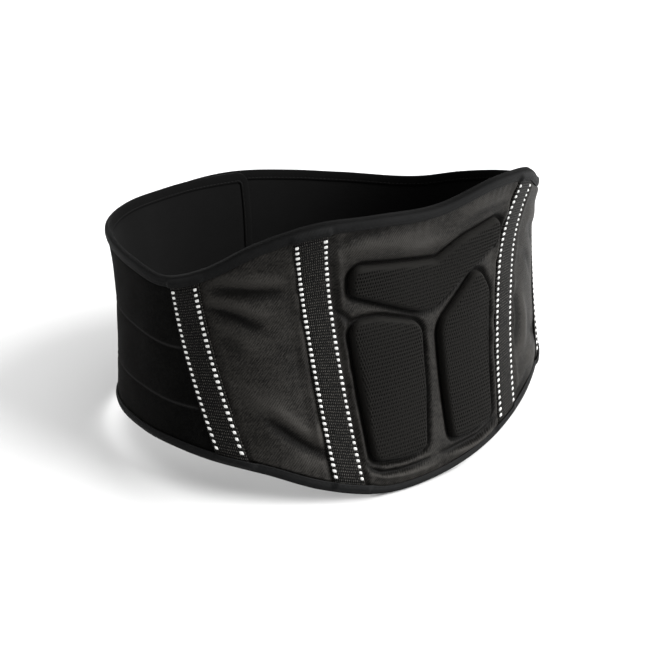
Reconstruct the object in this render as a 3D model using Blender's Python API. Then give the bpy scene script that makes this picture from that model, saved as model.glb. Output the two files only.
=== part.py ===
"""A kidney belt in the form it has round the waist, closed at the front and standing on its edge.

Lengths are in metres. Each piece is laid out flat first, by three lengths: how far it lies around
the belt from the spine (towards the wearer's left is positive), how high above the waist line, and
how far out from the belt's outer face. One function, on_belt, then bends it round the waist.
The wearer's back is at -Y, their left at -X and their head at +Z.
"""

import math
from collections import namedtuple

import bmesh
import bpy
import numpy as np

# The waist line seen from above: two half ovals that meet at the sides.
WAIST_WIDTH = 0.320
WAIST_BACK_DEPTH = 0.0977
WAIST_FRONT_DEPTH = 0.1219
WAIST_SQUARENESS = 2.31

# How far the wall leans out over a stated height above and below the waist line.
FLARE_RISE = 0.060
FLARE_DROP = 0.100
BACK_TOP_FLARE = 0.0147
SIDE_TOP_FLARE = 0.0072
FRONT_TOP_FLARE = 0.0080
BACK_LOWER_FLARE = 0.0090
SIDE_LOWER_FLARE = 0.0069
FRONT_LOWER_FLARE = 0.0068

# Heights of the upper edge and drops of the lower edge from the waist line.
BACK_RISE = 0.0600
SIDE_RISE = 0.0300
FRONT_RISE = 0.0390
BACK_DROP = 0.1290
SIDE_DROP = 0.0850
FRONT_DROP = 0.0863
REST_FLATTENING = 0.0009

# Walls, edges and clearances.
BACK_WALL = 0.0045
WING_WALL = 0.0032
WALL_EASE = 0.020
TAPE_THICKNESS = 0.0010
TAPE_WIDTH = 0.0075
CORNER_EXTRA = 0.0020
EDGE_GAP = 0.0003
JOINT_GAP = 0.0010
LAID_GAP = 0.0005

# The front closure: the left wing ends past the front, inside the right one.
LEFT_WING_PAST_FRONT = 0.0032
RIGHT_WING_PAST_FRONT = 0.0920
LAP_CLEARANCE = 0.0008
LAP_EASE = 0.0720
LAP_EASE_MARGIN = 0.0110
PATCH_CLEARANCE = 0.006

# Webbing strips, by the middle line's distance from the spine at the upper and the lower edge.
STRIP_WIDTH = 0.0200
STRIP_THICKNESS = 0.0014
INNER_STRIP_TOP = 0.0880
INNER_STRIP_FOOT = 0.0692
INNER_STRIP_BEND = 1.0
OUTER_STRIP_TOP = 0.1670
OUTER_STRIP_FOOT = 0.1405
OUTER_STRIP_BEND = 1.6

# The field that the three pads fill lies between the inner strips, clear of the belt's edges.
PAD_STRIP_CLEARANCE = 0.008
PAD_TOP_MARGIN = 0.020
PAD_FOOT_MARGIN = 0.019
PAD_CORNER = 0.0090
PAD_RISE = 0.0050
PAD_SHOULDER = 0.0024

FOLD_DEPTH = 0.0020
SIDE_PUFF = 0.0012
SEAM_RIDGE = 0.0005

# The edges' heights, each a share of the named rise or drop, by share of the half girth from the spine.
EdgeRow = namedtuple("EdgeRow", "around size share")
UPPER_EDGE = (
    EdgeRow(-1.23, FRONT_RISE, 0.98),
    EdgeRow(-1.00, FRONT_RISE, 1.03),
    EdgeRow(-0.89, FRONT_RISE, 0.86),
    EdgeRow(-0.80, FRONT_RISE, 0.70),
    EdgeRow(-0.64, SIDE_RISE, 0.74),
    EdgeRow(-0.57, SIDE_RISE, 0.94),
    EdgeRow(-0.48, SIDE_RISE, 1.18),
    EdgeRow(-0.35, SIDE_RISE, 1.46),
    EdgeRow(-0.28, BACK_RISE, 0.86),
    EdgeRow(-0.20, BACK_RISE, 1.10),
    EdgeRow(-0.11, BACK_RISE, 1.15),
    EdgeRow(0.00, BACK_RISE, 0.99),
    EdgeRow(0.11, BACK_RISE, 1.02),
    EdgeRow(0.20, BACK_RISE, 1.02),
    EdgeRow(0.28, BACK_RISE, 0.845),
    EdgeRow(0.35, SIDE_RISE, 1.17),
    EdgeRow(0.41, SIDE_RISE, 0.93),
    EdgeRow(0.48, SIDE_RISE, 1.09),
    EdgeRow(0.57, SIDE_RISE, 1.31),
    EdgeRow(0.64, SIDE_RISE, 1.40),
    EdgeRow(0.73, FRONT_RISE, 1.11),
    EdgeRow(0.80, FRONT_RISE, 1.08),
    EdgeRow(0.89, FRONT_RISE, 1.065),
    EdgeRow(1.04, FRONT_RISE, 0.99),
)
LOWER_EDGE = (
    EdgeRow(-1.23, FRONT_DROP, -1.00),
    EdgeRow(-0.60, FRONT_DROP, -1.00),
    EdgeRow(-0.41, SIDE_DROP, -1.04),
    EdgeRow(-0.35, SIDE_DROP, -1.09),
    EdgeRow(-0.28, BACK_DROP, -0.765),
    EdgeRow(-0.20, BACK_DROP, -0.85),
    EdgeRow(-0.11, BACK_DROP, -0.94),
    EdgeRow(0.00, BACK_DROP, -1.00),
    EdgeRow(0.11, BACK_DROP, -0.99),
    EdgeRow(0.20, BACK_DROP, -0.90),
    EdgeRow(0.28, BACK_DROP, -0.785),
    EdgeRow(0.35, SIDE_DROP, -1.09),
    EdgeRow(0.41, SIDE_DROP, -1.025),
    EdgeRow(0.48, SIDE_DROP, -1.00),
    EdgeRow(0.60, SIDE_DROP, -0.99),
    EdgeRow(0.80, FRONT_DROP, -0.955),
    EdgeRow(1.04, FRONT_DROP, -0.95),
)

# The back panel's soft folds: middle, half length and half width in shares of the pad field's
# upper width and of its height, turn in degrees, and depth in shares of FOLD_DEPTH.
Fold = namedtuple("Fold", "around down length width turn depth")
FOLDS = (
    Fold(0.93, 0.13, 0.16, 0.055, -3, -0.8),
    Fold(0.98, 0.25, 0.11, 0.055, 29, -0.5),
    Fold(0.70, 0.84, 0.14, 0.060, 37, -1.0),
    Fold(0.80, 0.71, 0.09, 0.055, 37, 0.7),
    Fold(-0.86, 0.38, 0.08, 0.110, 10, -0.8),
    Fold(-0.84, 0.70, 0.07, 0.090, 0, 0.5),
    Fold(0.13, 1.030, 0.22, 0.045, 0, -0.5),
    Fold(-0.36, 1.010, 0.14, 0.045, -22, -0.5),
)

# The pads' corners in order round each outline: shares of the field's width at that height and of
# its height, and the radius of the corner in shares of PAD_CORNER.
Corner = namedtuple("Corner", "around down radius")
UPPER_PAD = (
    Corner(0.007, 0.376, 3.0),
    Corner(0.465, 0.203, 0.9),
    Corner(0.454, 0.068, 1.0),
    Corner(-0.037, 0.128, 0.8),
    Corner(-0.200, 0.056, 6.0),
    Corner(-0.464, 0.002, 1.2),
    Corner(-0.494, 0.133, 0.9),
)
LOWER_LEFT_PAD = (
    Corner(0.493, 0.323, 1.0),
    Corner(0.314, 0.327, 4.0),
    Corner(0.048, 0.400, 1.4),
    Corner(0.048, 0.707, 9.0),
    Corner(0.098, 0.985, 0.8),
    Corner(0.282, 0.991, 6.0),
    Corner(0.498, 0.970, 0.9),
)
LOWER_RIGHT_PAD = (
    Corner(-0.068, 0.440, 1.8),
    Corner(-0.362, 0.223, 0.9),
    Corner(-0.468, 0.352, 2.0),
    Corner(-0.488, 0.963, 1.0),
    Corner(-0.244, 0.990, 6.0),
    Corner(-0.106, 0.987, 0.7),
)

# A corner's arc takes at most this share of each side that it joins.
CORNER_LIMIT = 0.45

# A pad's section from its crown to its underside: how far in from the outline in shares of
# PAD_SHOULDER, the share of the way from its middle to there, and the share of PAD_RISE.
PadRing = namedtuple("PadRing", "inset reach rise")
PAD_SECTION = (
    PadRing(1.0, 0.0, 1.0),
    PadRing(1.0, 0.45, 1.0),
    PadRing(1.0, 0.76, 1.0),
    PadRing(1.0, 1.0, 0.97),
    PadRing(0.35, 1.0, 0.80),
    PadRing(0.0, 1.0, 0.45),
    PadRing(0.0, 1.0, 0.0),
    PadRing(0.0, 0.76, 0.0),
    PadRing(0.0, 0.45, 0.0),
    PadRing(0.0, 0.0, 0.0),
)
UPPER_PAD_POINTS = 52
LOWER_PAD_POINTS = 40

# The wings' two sewn seams, in shares of the wing's height from its lower edge.
WING_SEAMS = (0.26, 0.595)
SEAM_SPREAD = 0.03
WING_LEVELS = (0.0, 0.12, 0.43, 0.74, 0.87, 1.0)

BACK_COLUMNS = 30
BACK_ROWS = 18
WING_COLUMN = 0.014
CORNER_STEPS = 4
END_STEPS = 5
TAPE_SECTION_STEPS = 3
STRIP_ROWS = 18
STRIP_COLUMNS = 3
PATCH_COLUMNS = 6
PATCH_ROWS = 6

ARC_STEPS = 9
RING_STEPS = 8000
SLOPE_STEP = 0.002
SETTLING_PASSES = 12
CREASE_DEGREES = 50.0


def ease(share):
    """A smooth step from 0 to 1."""
    share = np.clip(share, 0.0, 1.0)
    return share * share * (3.0 - 2.0 * share)


def waist_line():
    """Twice round the waist: angle from the spine, place seen from above, and length along it."""
    angle = np.linspace(-2.0 * math.pi, 2.0 * math.pi, 2 * RING_STEPS + 1)
    depth = np.where(np.cos(angle) > 0.0, WAIST_BACK_DEPTH, WAIST_FRONT_DEPTH)
    power = 2.0 / WAIST_SQUARENESS
    x = -0.5 * WAIST_WIDTH * np.sign(np.sin(angle)) * np.abs(np.sin(angle)) ** power
    y = -depth * np.sign(np.cos(angle)) * np.abs(np.cos(angle)) ** power
    along = np.concatenate([[0.0], np.cumsum(np.hypot(np.diff(x), np.diff(y)))])
    return angle, x, y, along - along[RING_STEPS]


BACK_STATIONS = np.linspace(-1.0, 1.0, BACK_COLUMNS + 1)
ANGLES, LINE_X, LINE_Y, ALONG = waist_line()
HALF_GIRTH = float(np.interp(math.pi, ANGLES, ALONG))
LEFT_END = HALF_GIRTH + LEFT_WING_PAST_FRONT
RIGHT_END = -(HALF_GIRTH + RIGHT_WING_PAST_FRONT)
TAPE_REACH = TAPE_THICKNESS + LAID_GAP
RIM_REACH = TAPE_THICKNESS + EDGE_GAP
WING_CORNER = TAPE_WIDTH + CORNER_EXTRA
LAP_STEP = WING_WALL + 2.0 * TAPE_REACH + LAP_CLEARANCE
LAP_EASE_END = HALF_GIRTH - RIGHT_WING_PAST_FRONT - LAP_EASE_MARGIN
PAD_FIELD_WIDTH = 2.0 * INNER_STRIP_TOP - STRIP_WIDTH - 2.0 * PAD_STRIP_CLEARANCE
PAD_FIELD_FOOT_WIDTH = 2.0 * INNER_STRIP_FOOT - STRIP_WIDTH - 2.0 * PAD_STRIP_CLEARANCE
PAD_FIELD_TOP = BACK_RISE - PAD_TOP_MARGIN
PAD_FIELD_HEIGHT = PAD_FIELD_TOP + BACK_DROP - PAD_FOOT_MARGIN


def smooth_curve(at, knots, values):
    """A smooth curve through the knots, with each knot's slope taken from its neighbours."""
    knots = np.asarray(knots)
    values = np.asarray(values)
    slopes = np.gradient(values, knots)
    at = np.clip(at, knots[0], knots[-1])
    part = np.clip(np.searchsorted(knots, at, side="right") - 1, 0, len(knots) - 2)
    span = knots[part + 1] - knots[part]
    t = (at - knots[part]) / span
    rise = values[part + 1] - values[part]
    bend_in = slopes[part] * span - rise
    bend_out = rise - slopes[part + 1] * span
    return values[part] + t * rise + t * (1.0 - t) * (bend_in * (1.0 - t) + bend_out * t)


def edge_height(around, rows):
    knots = [row.around * HALF_GIRTH for row in rows]
    return smooth_curve(around, knots, [row.size * row.share for row in rows])


def upper_edge(around):
    return edge_height(around, UPPER_EDGE)


def lower_edge(around):
    return edge_height(around, LOWER_EDGE)


def in_from_edge(edge, around, distance):
    """The height of a line that keeps a distance from an edge, square to the edge's slope."""
    slope = (edge(around + SLOPE_STEP) - edge(around - SLOPE_STEP)) / (2.0 * SLOPE_STEP)
    side = -1.0 if edge is upper_edge else 1.0
    return edge(around) + side * distance * np.sqrt(1.0 + slope**2)


def by_side(angle, back, side, front):
    """A size that turns smoothly from its back value to its side and its front value."""
    facing = np.cos(angle) ** 2
    return np.where(np.cos(angle) > 0.0, back, front) * facing + side * (1.0 - facing)


def flare(angle, height):
    """How far the wall leans out at a height, and how fast it leans out there."""
    above = height > 0.0
    top = by_side(angle, BACK_TOP_FLARE, SIDE_TOP_FLARE, FRONT_TOP_FLARE) / FLARE_RISE**2
    low = by_side(angle, BACK_LOWER_FLARE, SIDE_LOWER_FLARE, FRONT_LOWER_FLARE) / FLARE_DROP**2
    rate = np.where(above, top, low)
    return rate * height**2, 2.0 * rate * height


def lap(around):
    """How far in the left wing lies where it runs inside the right one."""
    return LAP_STEP * ease((around - LAP_EASE_END) / LAP_EASE + 1.0)


def share_down(around, height):
    """0 at the upper edge and 1 at the lower edge."""
    high = upper_edge(around)
    return (high - height) / (high - lower_edge(around))


def strip_middle(top, foot, bend, down):
    return top + (foot - top) * np.clip(down, 0.0, 1.0) ** bend


def outer_strip_middle(down):
    return strip_middle(OUTER_STRIP_TOP, OUTER_STRIP_FOOT, OUTER_STRIP_BEND, down)


def inner_strip_middle(down):
    return strip_middle(INNER_STRIP_TOP, INNER_STRIP_FOOT, INNER_STRIP_BEND, down)


def relief(around, height):
    """The back panel's soft folds, and the puffed fields beside its outer strips."""
    down = PAD_FIELD_TOP - height
    total = np.zeros(np.shape(around))
    for fold in FOLDS:
        turn = math.radians(fold.turn)
        across = around - fold.around * PAD_FIELD_WIDTH
        along = fold.down * PAD_FIELD_HEIGHT - down
        length = (across * math.cos(turn) + along * math.sin(turn)) / (fold.length * PAD_FIELD_WIDTH)
        width = (along * math.cos(turn) - across * math.sin(turn)) / (fold.width * PAD_FIELD_HEIGHT)
        total = total + FOLD_DEPTH * fold.depth * np.exp(-(length**2) - width**2)
    level = share_down(around, height)
    inner = inner_strip_middle(level) + 0.5 * STRIP_WIDTH
    outer = outer_strip_middle(level) - 0.5 * STRIP_WIDTH
    across = np.clip((np.abs(around) - inner) / (outer - inner), 0.0, 1.0)
    total = total + SIDE_PUFF * np.sin(math.pi * across) ** 2
    fade = ease((in_from_edge(upper_edge, around, TAPE_WIDTH) - height) / TAPE_WIDTH)
    fade = fade * ease((height - in_from_edge(lower_edge, around, TAPE_WIDTH)) / TAPE_WIDTH)
    return total * fade


def upright(around, height, outward):
    """The flat layout bent round the waist, before the belt settles on its lower edge."""
    angle = np.interp(around, ALONG, ANGLES)
    x = np.interp(around, ALONG, LINE_X)
    y = np.interp(around, ALONG, LINE_Y)
    depth = np.where(np.cos(angle) > 0.0, WAIST_BACK_DEPTH, WAIST_FRONT_DEPTH)
    lean_x = x / (0.5 * WAIST_WIDTH) ** 2
    lean_y = y / depth**2
    lean = np.hypot(lean_x, lean_y)
    reach, slope = flare(angle, height)
    out = (outward - lap(around)) / np.sqrt(1.0 + slope**2)
    tangent_x = np.interp(around, ALONG, np.gradient(LINE_X, ALONG))
    tangent_y = np.interp(around, ALONG, np.gradient(LINE_Y, ALONG))
    tangent = np.hypot(tangent_x, tangent_y)
    return np.stack(
        [
            x + lean_x / lean * reach - tangent_y / tangent * out,
            y + lean_y / lean * reach + tangent_x / tangent * out,
            height - slope * out,
        ],
        axis=-1,
    )


def resting_pose():
    """The turn about X that brings the back's and the front's lowest points level, and their height."""
    around = np.linspace(RIGHT_END, LEFT_END, RING_STEPS)
    rim = np.concatenate(
        [upright(around, lower_edge(around), out) for out in (TAPE_REACH, -WING_WALL - TAPE_REACH)]
    )
    turn = 0.0
    for _ in range(SETTLING_PASSES):
        level = rim[:, 2] * math.cos(turn) - rim[:, 1] * math.sin(turn)
        back = np.where(rim[:, 1] < 0.0, level, np.inf).argmin()
        front = np.where(rim[:, 1] > 0.0, level, np.inf).argmin()
        run = rim[front] - rim[back]
        turn = math.atan2(run[2], run[1])
    level = rim[:, 2] * math.cos(turn) - rim[:, 1] * math.sin(turn)
    return turn, float(level.min()) + REST_FLATTENING


REST_TURN, REST_LEVEL = resting_pose()


def on_belt(around, height, outward, clear=0.0):
    """The flat layout on the standing belt, pressed flat where it would reach under the floor."""
    points = upright(around, height, outward)
    y = points[:, 1] * math.cos(REST_TURN) + points[:, 2] * math.sin(REST_TURN)
    z = points[:, 2] * math.cos(REST_TURN) - points[:, 1] * math.sin(REST_TURN) - REST_LEVEL
    return np.column_stack([points[:, 0], y, np.maximum(z, clear)])


def material(name, colour, roughness):
    made = bpy.data.materials.new(name)
    made.use_nodes = True
    shader = made.node_tree.nodes["Principled BSDF"]
    shader.inputs["Base Color"].default_value = (*colour, 1.0)
    shader.inputs["Roughness"].default_value = roughness
    shader.inputs["Metallic"].default_value = 0.0
    return made


def finish(name, form, points, made_of, collection):
    """Puts the bent points into the mesh and makes it a named object."""
    form.verts.ensure_lookup_table()
    for vert, point in zip(form.verts, points):
        vert.co = point
    if form.calc_volume(signed=True) < 0.0:
        bmesh.ops.reverse_faces(form, faces=form.faces)
    mesh = bpy.data.meshes.new(name)
    form.to_mesh(mesh)
    form.free()
    mesh.materials.append(made_of)
    mesh.shade_smooth()
    mesh.set_sharp_from_angle(angle=math.radians(CREASE_DEGREES))
    piece = bpy.data.objects.new(name, mesh)
    collection.objects.link(piece)
    return piece


def flat_slab(columns, rows):
    """A slab of quads. It returns the mesh with each vertex's column, row and side: 1 is the outer face."""
    form = bmesh.new()
    bmesh.ops.create_grid(form, x_segments=columns, y_segments=rows, size=1.0)
    bmesh.ops.solidify(form, geom=form.faces[:], thickness=1.0)
    place = np.array([vert.co for vert in form.verts])
    column = np.rint((place[:, 0] + 1.0) * 0.5 * columns).astype(int)
    row = np.rint((place[:, 1] + 1.0) * 0.5 * rows).astype(int)
    side = np.where(place[:, 2] > place[:, 2].mean(), 1, 0)
    return form, column, row, side


def back_panel(made_of, collection):
    """The panel between the outer strips. Each row runs from one strip's middle line to the other's."""
    form, column, row, side = flat_slab(BACK_COLUMNS, BACK_ROWS)
    up = row / BACK_ROWS
    around = (outer_strip_middle(1.0 - up) - 0.5 * JOINT_GAP) * BACK_STATIONS[column]
    low = in_from_edge(lower_edge, around, RIM_REACH)
    high = in_from_edge(upper_edge, around, RIM_REACH)
    height = low + (high - low) * up
    outward = np.where(side == 1, relief(around, height), -BACK_WALL)
    points = on_belt(around, height, outward, RIM_REACH)
    return finish("back_panel", form, points, made_of, collection)


def corner_cut(left_over, radius):
    """How far a round corner takes off the edge at a distance from the wing's end."""
    inside = np.clip(radius - left_over, 0.0, radius)
    return radius - np.sqrt(radius**2 - inside**2)


def wing_stations(end):
    """Shares of the way from the strip's middle line to the wing's last corner."""
    columns = round((abs(end) - OUTER_STRIP_TOP) / WING_COLUMN)
    return np.linspace(0.0, 1.0, columns + 1)


def wing(name, end, made_of, collection):
    """A wing from the outer strip's middle line to its end at the front, with round corners there."""
    towards = math.copysign(1.0, end)
    radius = WING_CORNER - RIM_REACH
    last = end - towards * RIM_REACH
    bend = last - towards * radius
    stations = wing_stations(end)
    corner = np.sin(np.linspace(0.0, 0.5 * math.pi, CORNER_STEPS + 1))[1:]
    share = np.concatenate([stations, np.ones(CORNER_STEPS)])
    past = np.concatenate([np.zeros(len(stations)), corner])
    seams = [seam + step for seam in WING_SEAMS for step in (-SEAM_SPREAD, 0.0, SEAM_SPREAD)]
    levels = np.array(sorted(list(WING_LEVELS) + seams))
    form, column, row, side = flat_slab(len(share) - 1, len(levels) - 1)
    up = levels[row]
    start = towards * (outer_strip_middle(1.0 - up) + 0.5 * JOINT_GAP)
    around = start + (bend - start) * share[column] + towards * radius * past[column]
    cut = corner_cut(np.abs(last - around), radius)
    low = in_from_edge(lower_edge, around, RIM_REACH) + cut
    high = in_from_edge(upper_edge, around, RIM_REACH) - cut
    height = low + (high - low) * up
    ridge = SEAM_RIDGE * np.isin(up, WING_SEAMS) * (1.0 - ease(lap(around) / LAP_STEP))
    ridge = ridge * ease((np.abs(around - start) - 0.5 * STRIP_WIDTH) / STRIP_WIDTH)
    ridge = ridge * ease((np.abs(last - around) - TAPE_WIDTH) / TAPE_WIDTH)
    outward = np.where(side == 1, ridge, -WING_WALL)
    points = on_belt(around, height, outward, RIM_REACH)
    return finish(name, form, points, made_of, collection)


def edge_path(edge, sign):
    """An edge from half way up the right wing's end to half way up the left one's.

    It returns the places around, the heights, and the direction that leads in from the edge."""
    joint = float(outer_strip_middle(0.0 if sign > 0.0 else 1.0))
    turn = np.linspace(0.0, 0.5 * math.pi, CORNER_STEPS + 1)
    halves = []
    for end in (RIGHT_END, LEFT_END):
        towards = math.copysign(1.0, end)
        bend = end - towards * WING_CORNER
        wing_run = towards * joint + (bend - towards * joint) * wing_stations(end)[1:]
        corner = bend + towards * WING_CORNER * np.sin(turn[1:])
        around = np.concatenate([wing_run, corner, np.full(END_STEPS, end)])
        height = edge(around) - sign * corner_cut(np.abs(end - around), WING_CORNER)
        middle = 0.5 * (upper_edge(end) + lower_edge(end)) + 0.5 * sign * EDGE_GAP
        height[-END_STEPS:] = np.linspace(height[-END_STEPS - 1], middle, END_STEPS + 1)[1:]
        halves.append((around, height))
    back = joint * BACK_STATIONS
    around = np.concatenate([halves[0][0][::-1], back, halves[1][0]])
    height = np.concatenate([halves[0][1][::-1], edge(back), halves[1][1]])
    step_x = np.gradient(around)
    step_z = np.gradient(height)
    length = np.hypot(step_x, step_z)
    return around, height, sign * step_z / length, -sign * step_x / length


def edge_tape(name, edge, sign, made_of, collection):
    """The tape folded over an edge: down the outer face, over the rim and down the inner face."""
    path_x, path_z, in_x, in_z = edge_path(edge, sign)
    form, column, row, side = flat_slab(len(path_x) - 1, TAPE_SECTION_STEPS)
    joint = float(outer_strip_middle(0.0 if sign > 0.0 else 1.0))
    on_rim = (row == 1) | (row == 2)
    inward = np.where(on_rim, np.where(side == 1, 0.0, TAPE_THICKNESS), TAPE_WIDTH)
    around = path_x[column] + in_x[column] * inward
    height = path_z[column] + in_z[column] * inward
    wall = BACK_WALL + (WING_WALL - BACK_WALL) * ease((np.abs(around) - joint) / WALL_EASE)
    layer = np.where(side == 1, TAPE_REACH, LAID_GAP)
    outward = np.where(row < 2, layer, -wall - layer)
    clear = np.where(side == 1, 0.0, TAPE_THICKNESS)
    points = on_belt(around, height, outward, clear)
    return finish(name, form, points, made_of, collection)


def strip(name, towards, middle, made_of, collection):
    """A webbing strip laid on the belt's outer face, from the upper tape to the lower one."""
    form, column, row, side = flat_slab(STRIP_COLUMNS, STRIP_ROWS)
    across = (column / STRIP_COLUMNS - 0.5) * STRIP_WIDTH
    down = row / STRIP_ROWS
    around = towards * middle(down) + across
    high = in_from_edge(upper_edge, around, TAPE_WIDTH + LAID_GAP)
    low = in_from_edge(lower_edge, around, TAPE_WIDTH + LAID_GAP)
    height = high + (low - high) * down
    outward = np.where(side == 1, LAID_GAP + STRIP_THICKNESS, LAID_GAP)
    points = on_belt(around, height, outward)
    return finish(name, form, points, made_of, collection)


def pad_place(corner):
    """A corner's place in the flat layout. The field narrows towards its foot, as the strips do."""
    width = PAD_FIELD_WIDTH + (PAD_FIELD_FOOT_WIDTH - PAD_FIELD_WIDTH) * corner.down
    return corner.around * width, PAD_FIELD_TOP - corner.down * PAD_FIELD_HEIGHT


def turned(arm, angle):
    """A flat vector turned by an angle."""
    cosine = math.cos(angle)
    sine = math.sin(angle)
    return np.array([arm[0] * cosine - arm[1] * sine, arm[0] * sine + arm[1] * cosine])


def rounded_outline(corners, count):
    """Points at even steps along a polygon whose corners are rounded by arcs."""
    places = np.array([pad_place(corner) for corner in corners])
    run = []
    for index, corner in enumerate(corners):
        here = places[index]
        before = places[index - 1] - here
        after = places[(index + 1) % len(corners)] - here
        before_length = math.hypot(*before)
        after_length = math.hypot(*after)
        before = before / before_length
        after = after / after_length
        half = 0.5 * math.acos(float(np.clip(before @ after, -1.0, 1.0)))
        limit = CORNER_LIMIT * min(before_length, after_length)
        reach = min(corner.radius * PAD_CORNER / math.tan(half), limit)
        radius = reach * math.tan(half)
        bisector = (before + after) / math.hypot(*(before + after))
        centre = here + bisector * radius / math.sin(half)
        first = here + before * reach - centre
        last = here + after * reach - centre
        swing = math.atan2(first[0] * last[1] - first[1] * last[0], first @ last)
        for turn in np.linspace(0.0, swing, ARC_STEPS):
            run.append(centre + turned(first, turn))
    run = np.array(run + run[:1])
    length = np.concatenate([[0.0], np.cumsum(np.hypot(*np.diff(run, axis=0).T))])
    at = np.linspace(0.0, length[-1], count + 1)[:-1]
    return np.column_stack([np.interp(at, length, run[:, 0]), np.interp(at, length, run[:, 1])])


def inset(outline, distance):
    """The outline moved in by a distance."""
    along = np.roll(outline, -1, axis=0) - np.roll(outline, 1, axis=0)
    along = along / np.hypot(along[:, 0], along[:, 1])[:, None]
    inward = np.column_stack([-along[:, 1], along[:, 0]])
    after = np.roll(outline, -1, axis=0)
    area = np.sum(outline[:, 0] * after[:, 1] - outline[:, 1] * after[:, 0])
    return outline + math.copysign(distance, area) * inward


def pad(name, corners, count, made_of, collection):
    """A raised pad: a ball's rings brought to the pad's outline, from its crown to its underside."""
    outline = rounded_outline(corners, count)
    form = bmesh.new()
    bmesh.ops.create_uvsphere(form, u_segments=count, v_segments=len(PAD_SECTION) - 1, radius=1.0)
    place = np.array([vert.co for vert in form.verts])
    down = np.arccos(np.clip(place[:, 2], -1.0, 1.0)) / math.pi
    ring = np.rint(down * (len(PAD_SECTION) - 1)).astype(int)
    turn = np.arctan2(place[:, 1], place[:, 0]) / (2.0 * math.pi)
    spoke = np.rint(turn * count).astype(int) % count
    middle = outline.mean(axis=0)
    edges = [inset(outline, row.inset * PAD_SHOULDER) for row in PAD_SECTION]
    rings = [middle + row.reach * (line - middle) for row, line in zip(PAD_SECTION, edges)]
    rise = np.array([row.rise for row in PAD_SECTION]) * PAD_RISE
    flat = np.array(rings)[ring, spoke]
    points = on_belt(flat[:, 0], flat[:, 1], LAID_GAP + rise[ring])
    return finish(name, form, points, made_of, collection)


def hook_patch(made_of, collection):
    """The hook tape between the two wings, inside the right one and clear of both wings' tapes."""
    form, column, row, side = flat_slab(PATCH_COLUMNS, PATCH_ROWS)
    margin = TAPE_WIDTH + PATCH_CLEARANCE
    start = RIGHT_END + margin
    stop = LEFT_END - 2.0 * HALF_GIRTH - margin
    around = start + (stop - start) * column / PATCH_COLUMNS
    other = around + 2.0 * HALF_GIRTH
    high = np.minimum(upper_edge(around), upper_edge(other)) - margin
    low = np.maximum(lower_edge(around), lower_edge(other)) + margin
    height = low + (high - low) * row / PATCH_ROWS
    outward = np.where(side == 1, -WING_WALL - LAID_GAP, LAID_GAP - LAP_STEP)
    points = on_belt(around, height, outward)
    return finish("hook_patch", form, points, made_of, collection)


def centre_on_origin(pieces):
    """Moves the pieces so that the middle of their footprint lies on the origin."""
    corners = np.array([vert.co for piece in pieces for vert in piece.data.vertices])
    middle = 0.5 * (corners.min(axis=0) + corners.max(axis=0))
    for piece in pieces:
        for vert in piece.data.vertices:
            vert.co.x -= middle[0]
            vert.co.y -= middle[1]


def main():
    for obj in list(bpy.data.objects):
        bpy.data.objects.remove(obj)
    belt = bpy.data.collections.new("kidney_belt")
    bpy.context.scene.collection.children.link(belt)

    satin = material("charcoal_satin", (0.030, 0.027, 0.026), 0.55)
    velour = material("black_velour", (0.010, 0.010, 0.010), 0.95)
    tape = material("black_edge_tape", (0.016, 0.016, 0.017), 0.70)
    webbing = material("black_webbing", (0.018, 0.017, 0.017), 0.75)
    mesh_cloth = material("dark_mesh_cloth", (0.020, 0.019, 0.019), 0.85)
    hook = material("black_hook_tape", (0.012, 0.012, 0.012), 0.80)

    pieces = [
        back_panel(satin, belt),
        wing("left_wing", LEFT_END, velour, belt),
        wing("right_wing", RIGHT_END, velour, belt),
        edge_tape("upper_binding", upper_edge, 1.0, tape, belt),
        edge_tape("lower_binding", lower_edge, -1.0, tape, belt),
        hook_patch(hook, belt),
        pad("upper_pad", UPPER_PAD, UPPER_PAD_POINTS, mesh_cloth, belt),
        pad("lower_left_pad", LOWER_LEFT_PAD, LOWER_PAD_POINTS, mesh_cloth, belt),
        pad("lower_right_pad", LOWER_RIGHT_PAD, LOWER_PAD_POINTS, mesh_cloth, belt),
    ]
    for side, towards in (("left", 1.0), ("right", -1.0)):
        pieces.append(strip(f"inner_{side}_strip", towards, inner_strip_middle, webbing, belt))
        pieces.append(strip(f"outer_{side}_strip", towards, outer_strip_middle, webbing, belt))
    centre_on_origin(pieces)


main()
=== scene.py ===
"""A kidney belt's cloth: satin cover, velour wings, webbing, mesh pads, edge tape and thread.

Each piece is laid out flat by three lengths, as a cutter would lay it: how far it lies around the belt
from the spine (towards the wearer's left is positive), how high above the waist line, and how far out
from the belt's outer face. on_belt bends that layout round the waist and stands the belt on the floor.
"""

import math
from collections import namedtuple

import bpy
import numpy as np
from mathutils import Matrix, Vector


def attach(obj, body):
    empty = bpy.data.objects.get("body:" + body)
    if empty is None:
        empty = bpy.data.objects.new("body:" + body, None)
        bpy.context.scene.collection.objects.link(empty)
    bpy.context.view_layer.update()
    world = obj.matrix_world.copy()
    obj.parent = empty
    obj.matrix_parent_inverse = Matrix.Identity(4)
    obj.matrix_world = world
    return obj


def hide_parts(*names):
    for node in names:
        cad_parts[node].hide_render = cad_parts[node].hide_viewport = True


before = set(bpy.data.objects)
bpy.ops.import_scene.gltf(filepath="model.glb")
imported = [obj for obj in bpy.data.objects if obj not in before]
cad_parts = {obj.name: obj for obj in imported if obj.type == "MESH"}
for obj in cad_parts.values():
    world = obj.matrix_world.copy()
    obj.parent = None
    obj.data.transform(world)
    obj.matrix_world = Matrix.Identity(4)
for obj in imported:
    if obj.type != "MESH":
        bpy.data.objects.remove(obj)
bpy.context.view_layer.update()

bl_info = {
    "name": "Kidney Belt Cloth",
    "version": (1, 0, 0),
    "blender": (4, 5, 0),
    "location": "3D View > Sidebar > Kidney Belt",
    "description": "Makes the cloth pieces of a kidney belt around its solids",
    "category": "Add Mesh",
}

IMAGE_SIZE = 664

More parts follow.
